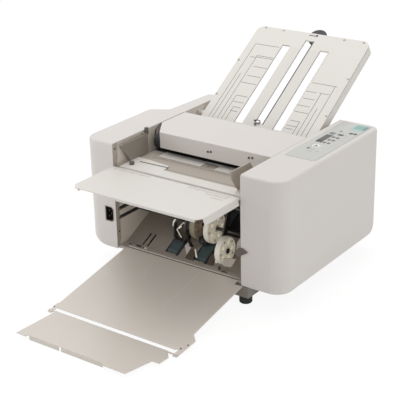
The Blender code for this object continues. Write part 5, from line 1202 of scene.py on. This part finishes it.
class FOLDER_OT_delivery_bay(FolderOperator, bpy.types.Operator):
    """Finish the ramp, the belts, the sill and the small metalwork of the delivery bay"""
    bl_idname = "folder.delivery_bay"
    bl_label = "Delivery bay"

    def execute(self, context):
        refined("delivery_ramp", "dark_steel", 0.3)
        refined("front_sill", "sill_grey", 0.4)
        for side in ("left", "right"):
            refined(side + "_delivery_belt", "belt_teal", 0.25)
        repainted("bright_steel", "belt_shaft_front", "belt_shaft_rear")
        tab = plate("ramp_window", [(-22, 31), (-3, 9), (-3, 30), (-21, 44)], 1.5, 3.0, RAMP,
                    edge=0.3)
        dress(tab, "painted_white")
        self.make_guide()
        self.make_bracket()
        for name, slot, near, far, outline in (
                ("right_guide", "sill_grey", 10, 14,
                 [(119, -229), (140, -226), (153, -204), (119.5, -210)]),
                ("right_deflector", "lever_grey", -3.2, -1.2,
                 [(157, -181), (166, -190), (172, -186), (192, -173), (177, -166), (168, -169)]),
                ("right_blade", "lever_pale", 1.0, 2.6,
                 [(159, -180), (168, -169), (171.5, -169.5), (171.5, -144), (163, -157)])):
            dress(front_plate(name, outline, near, far, edge=0.4), slot)
        foot = block("deflector_foot", (160, -2.2, -186), (169, 24, -178), edge=0.8)
        dress(foot, "lever_grey")
        # Black rims round the two wall slots and black sheets behind them: painted shadow, so that
        # the slots look dark and wide.
        slot_shadow_rims = [side_plate("trim", rectangle(y0, z - 4.3, y1, z + 4.3, 4.2), -172.6, -171.9,
                            holes=[rectangle(y0 + 2, z - 2.4, y1 - 2, z + 2.4, 2.3)], edge=0.2)
                 for y0, y1, z in ((9, 60, -161), (10, 86, -183))]
        slot_shadow_backs = [side_plate("back", rectangle(y0, z - 3, y1, z + 3), -173.9, -173.6)
                 for y0, y1, z in ((11, 58, -161), (12, 84, -183))]
        dress(join("wall_slot_trims", slot_shadow_rims + slot_shadow_backs), "black_rubber")
        # Black sheets on the ramp beside the belts and right of the front wheel: painted shadow in
        # the belt gaps and over the shaded part of the ramp.
        outlines = (([(49, 0), (56, 0), (61, 176), (49, 176)], 1.2),
                    ([(-29.4, 0), (-24, 0), (-22.6, 120), (-29.4, 120)], 1.2),
                    ([(54, 92), (170, 92), (170, 176), (54, 176)], 1.0))
        strips = [plate("strip", outline, 0.3, high, RAMP) for outline, high in outlines]
        dress(join("ramp_strips", strips), "black_rubber")
        for name, slot, low, high, edge in (
                # The dark strip in the gap behind the tray's hem is painted shadow.
                ("sill_gap", "shadow_grey", (-152, 10.0, -256), (160, 11.8, -251.6), 0.0),
                ("sill_tab", "painted_white", (-113, 22, -250.6), (-105, 27, -249.0), 0.4),
                ("sill_stop", "foot_brown", (95, 23, -250.6), (99, 29, -242.0), 0.6),
                ("sill_lip", "painted_white", (-150, 12.4, -250.6), (160, 15.8, -249.6), 0.3)):
            dress(block(name, low, high, edge=edge), slot)
        slits = [plate("sill_slit", rectangle(x, 22, x + wide, 25, 1.2), -250.4, -249.5)
                 for x, wide in ((-158, 9), (-136, 14), (-118, 4), (104, 16))]
        dress(join("sill_slits", slits), "black_rubber")
        return {"FINISHED"}

    def make_guide(self):
        """Stand the dark paper guide on the ramp's left, with its light zigzag strip."""
        outline = [(-57, -190), (-57, -222), (-51.6, -231), (-30, -232), (-21.5, -218),
                   (-17.6, -198), (-3, -177), (-41, -177)]
        edge = [(-56.5, -197), (-57.5, -194), (-56, -184), (-51, -177), (-47.5, -177), (-54, -187)]
        dress(front_plate("bay_guide_edge", edge, 62, 64, edge=0.2), "wheel_inner")
        inner = [(-54, -190), (-54, -221), (-50, -228), (-31, -229), (-24.5, -217), (-20.5, -197),
                 (-9, -180), (-40, -180)]
        dress(front_plate("bay_guide_back", outline, 70, 72, edge=0.4), "guide_dark")
        dress(front_plate("bay_guide_rim", outline, 64, 70, holes=[inner], edge=0.5), "shadow_grey")
        strips = []
        for points in ([(-37, 67, -221), (-49, 67, -204), (-28.5, 67, -181), (-19.5, 67, -198)],
                       [(-43, 66, -200), (-35, 66, -192.5)]):
            strips.append(wire("strip", points, 1.3, smooth=False))
        dress(join("bay_strips", strips), "wheel_inner")

    def make_bracket(self):
        """Bend the dark bracket that runs down beside the left wheel, with its feet and roller."""
        outline = self.arc(37.5, 130, 7, 11) + [(60, -221), (72, -240), (60, -235), (50, -212)]
        outline += self.arc(43, 193, -7, 10)
        dress(side_plate("bay_bracket", outline, -9, -4, edge=0.6), "guide_dark")
        outlines = (([(-3, 28), (9, 27), (22, -1), (-1, -1)], 4.0),
                    ([(54, 30), (66, 26), (74, 2), (58, 2)], 3.0))
        feet = [plate("foot", outline, 0.3, high, RAMP, edge=0.5) for outline, high in outlines]
        dress(join("bay_feet", feet), "foot_brown")
        links = (([(8, 28), (11.5, 28), (28, 9), (24.5, 7.5)], 4.2, 5.6),
                 ([(64, 34), (68, 36), (82, 10), (77, 8)], 3.4, 4.6))
        light = [plate("light", *link, RAMP, edge=0.3) for link in links]
        dress(join("bay_links", light), "wheel_inner")
        roller = turned("bay_roller", [(13, 0), (13, 8.4), (14.5, 9.6), (31.5, 9.6), (33, 8.4),
                                       (33, 0)], BAY_ROLLER)
        dress(roller, "black_rubber")
        ring = turned("bay_roller_ring", [(20, 9.7), (20, 10.2), (25, 10.2), (25, 9.7)], BAY_ROLLER)
        dress(ring, "shadow_grey")

    @staticmethod
    def arc(radius, start, step, count):
        """Return points on an arc round the rear stacker shaft, with angles in degrees."""
        y, z = REAR_AXIS
        return [(y + radius * math.cos(a), z + radius * math.sin(a))
                for a in (math.radians(start + step * i) for i in range(count))]


class FOLDER_OT_stacker(FolderOperator, bpy.types.Operator):
    """Make the stacker wheels with their tyres and hubs, and finish their shafts and arm"""
    bl_idname = "folder.stacker"
    bl_label = "Stacker wheels"

    HALF_WIDTH = 7.0
    WEB_HALF_WIDTH = 6.0
    RIM_DEPTH = 2.6
    HUB_RADIUS = 9.8
    POCKETS = 5
    POCKET_RADIUS = 3.6
    POCKET_CIRCLE = 0.58

    def execute(self, context):
        # The left wheel takes darker finishes than the others: painted shade. The other webs glow:
        # painted light.
        for side, x, centre, radius, body, rim_slot, web_slot in (
                ("left", 6, REAR_AXIS, 36, "stacker_rear", "rim_grey", "wheel_brown"),
                ("right", 45, REAR_AXIS, 36, "stacker_rear", "wheel_white", "wheel_inner"),
                ("front", 100, FRONT_AXLE, 32, "stacker_front", "wheel_white", "wheel_inner")):
            node = "stacker_wheel_" + side
            self.make_wheel(node, x, centre, radius, body, rim_slot, web_slot)
        refined("stacker_arm", "guide_dark", 0.4)
        repainted("dark_screw", "stacker_shaft_rear", "stacker_shaft_front")
        return {"FINISHED"}

    def make_wheel(self, node, x, centre, radius, body, rim_slot, web_slot):
        """Make one wheel: a rim with a crowned tyre, a web with pockets, ribs and a hub."""
        low, high = x - self.HALF_WIDTH, x + self.HALF_WIDTH
        inner, hub = radius - self.RIM_DEPTH, self.HUB_RADIUS
        profile = [(low, inner), (low, radius - 1.2), (low + 1.4, radius - 0.1),
                   (high - 1.4, radius - 0.1), (high, radius - 1.2), (high, inner),
                   (x + 3.8, inner - 0.6), (x - 3.8, inner - 0.6)]
        dress(turned(node + "_rim", profile, centre), rim_slot, body, node)
        profile = [(low, 4.4), (low, 8.6), (low + 1.2, hub), (high - 1.2, hub), (high, 8.6),
                   (high, 4.4)]
        dress(turned(node + "_hub", profile, centre), rim_slot, body)
        y, z = centre
        pockets = disc(y, z, radius * self.POCKET_CIRCLE, self.POCKETS)
        holes = [disc(*pocket, self.POCKET_RADIUS, 16) for pocket in pockets]
        web = side_plate(node + "_web", disc(y, z, inner + 0.2, 40), x - self.WEB_HALF_WIDTH,
                         x + self.WEB_HALF_WIDTH, holes=holes + [disc(y, z, 9.2)], edge=0.3)
        dress(web, web_slot, body)
        for part, count, start, wide, deep, bottom, top, edge, slot in (
                ("rib", 10, math.tau / 20, 6.5, 0.7, 9.4, inner + 0.2, 0.3, web_slot),
                ("pad", 5, 0.35, 6.3, 3.0, inner - 8.5, inner - 1.5, 0.8, "wheel_green")):
            turns = [Matrix.Rotation(math.tau * i / count + start, 4, "X") for i in range(count)]
            blocks = [block(part, (-wide, -deep, bottom), (wide, deep, top),
                            plane_at(x, y, z) @ turn, edge) for turn in turns]
            dress(join(node + "_" + part + "s", blocks), slot, body)


class FOLDER_OT_delivery_tray(FolderOperator, bpy.types.Operator):
    """Finish the paper tray and its extension, with the hem, the screws and painted highlights
    along the creases
    """
    bl_idname = "folder.delivery_tray"
    bl_label = "Delivery tray"

    def execute(self, context):
        refined("delivery_tray", "tray_sheet", 0.35)
        refined("tray_extension", "tray_sheet", 0.3)
        top = on_plane(TRAY, 0, 0, TRAY_TOP)
        hem = [(-146, -248), (-146, -251.4), (176, -251.4), (176, -248)]
        dress(plate("tray_hem", hem, -1.4, -0.1, top, edge=0.2), "tray_sheet", "tray")
        # Near-white lines along the tray's creases: painted highlight.
        lines = [(65, -8, 67, -150), (-61, -12, -38, -92)]
        dress(strokes("tray_creases", lines, top, 0.7), "crease_grey", "tray")
        places = [on_plane(top, x, along) for x, along in ((183.3, -244.4), (190.5, -229.1),
                                                           (-154.5, -250.0))]
        scatter("tray_screws", head("tray_screw", 1.9, 0.7), places, "dark_screw", "tray")
        return {"FINISHED"}


class FOLDER_OT_base(FolderOperator, bpy.types.Operator):
    """Finish the base pan, its feet and the rear panel"""
    bl_idname = "folder.base"
    bl_label = "Base"

    def execute(self, context):
        refined("base_pan", "pan_grey", 0.5)
        refined("rear_panel", "cover_white", 0.3)
        for foot in ("foot_front_left", "foot_front_right", "foot_rear_left", "foot_rear_right"):
            refined(foot, "black_rubber", 0.6, 3)
        places = [spot(x, 417.0, z, "rear") for x in (-150, 150) for z in (-245, -85)]
        scatter("rear_screws", head("rear_screw", 3.4, 1.6), places, "screw_steel")
        return {"FINISHED"}


class FOLDER_OT_power_inlet(FolderOperator, bpy.types.Operator):
    """Make the mains inlet with its rim and its three pins"""
    bl_idname = "folder.power_inlet"
    bl_label = "Power inlet"

    def execute(self, context):
        refined("power_inlet", "black_plastic", 0.4)
        rim = [(-204.6, -193.4), (-183.5, -193.4), (-177.6, -187.6), (-177.6, -160.4),
               (-183.5, -154.6), (-204.6, -154.6)]
        hole = [(-202.6, -191.4), (-184.4, -191.4), (-179.6, -186.6), (-179.6, -161.4),
                (-184.4, -156.6), (-202.6, -156.6)]
        dress(front_plate("inlet_rim", rim, -0.7, 0.3, holes=[hole], edge=0.3), "sill_grey")
        pins = [block("pin_%d" % i, (x - 1.1, 3.5, z - 2.2), (x + 1.1, 16, z + 2.2), edge=0.4)
                for i, (x, z) in enumerate(((-188, -174), (-194.5, -167), (-194.5, -181)))]
        dress(join("inlet_pins", pins), "dark_screw")
        return {"FINISHED"}


class FOLDER_OT_works(FolderOperator, bpy.types.Operator):
    """Finish the rollers, gears, motor, belt and board inside the machine"""
    bl_idname = "folder.works"
    bl_label = "Works"

    def execute(self, context):
        for i in range(1, 5):
            refined("fold_roller_%d" % i, "roller_rubber", 0.2)
            repainted("gear_nylon", "fold_gear_%d" % i)
        refined("feed_roller", "roller_rubber", 0.3)
        refined("motor", "motor_grey", 0.8, 3)
        repainted("gear_nylon", "drive_pulley")
        repainted("bright_steel", "motor_pulley", "feed_guide", "second_fold_plate")
        repainted("black_rubber", "drive_belt", "separator_pad")
        repainted("board_green", "circuit_board")
        return {"FINISHED"}


class FOLDER_PT_panel(bpy.types.Panel):
    """Lists the operators and the settings"""
    bl_label = "Paper folding machine"
    bl_idname = "FOLDER_PT_panel"
    bl_space_type = "VIEW_3D"
    bl_region_type = "UI"
    bl_category = "Folder"

    def draw(self, context):
        for operator in OPERATORS:
            self.layout.operator(operator.bl_idname)
        for name in GROUPS:
            group = getattr(context.scene, name)
            box = self.layout.box()
            for key in group.__annotations__:
                box.prop(group, key)


OPERATORS = (FOLDER_OT_stage, FOLDER_OT_covers, FOLDER_OT_control_panel, FOLDER_OT_feed_table,
             FOLDER_OT_lid, FOLDER_OT_upper_table, FOLDER_OT_fold_recess, FOLDER_OT_delivery_bay,
             FOLDER_OT_stacker, FOLDER_OT_delivery_tray, FOLDER_OT_base, FOLDER_OT_power_inlet,
             FOLDER_OT_works)
GROUPS = {"folder_colours": FolderColours, "folder_sizes": FolderSizes,
          "folder_studio": FolderStudio}


def register():
    """Register the classes and attach the settings to the scene."""
    for group in GROUPS.values():
        bpy.utils.register_class(group)
    for name, group in GROUPS.items():
        setattr(bpy.types.Scene, name, PointerProperty(type=group))
    for operator in OPERATORS:
        bpy.utils.register_class(operator)
    bpy.utils.register_class(FOLDER_PT_panel)


def unregister():
    """Undo register."""
    bpy.utils.unregister_class(FOLDER_PT_panel)
    for operator in reversed(OPERATORS):
        bpy.utils.unregister_class(operator)
    for name, group in GROUPS.items():
        delattr(bpy.types.Scene, name)
        bpy.utils.unregister_class(group)


def main():
    """Make every piece in turn."""
    register()
    for operator in OPERATORS:
        group, name = operator.bl_idname.split(".")
        result = getattr(getattr(bpy.ops, group), name)()
        if result != {"FINISHED"}:
            raise RuntimeError(operator.bl_label + " was not finished")
    rest()


if __name__ == "__main__":
    main()
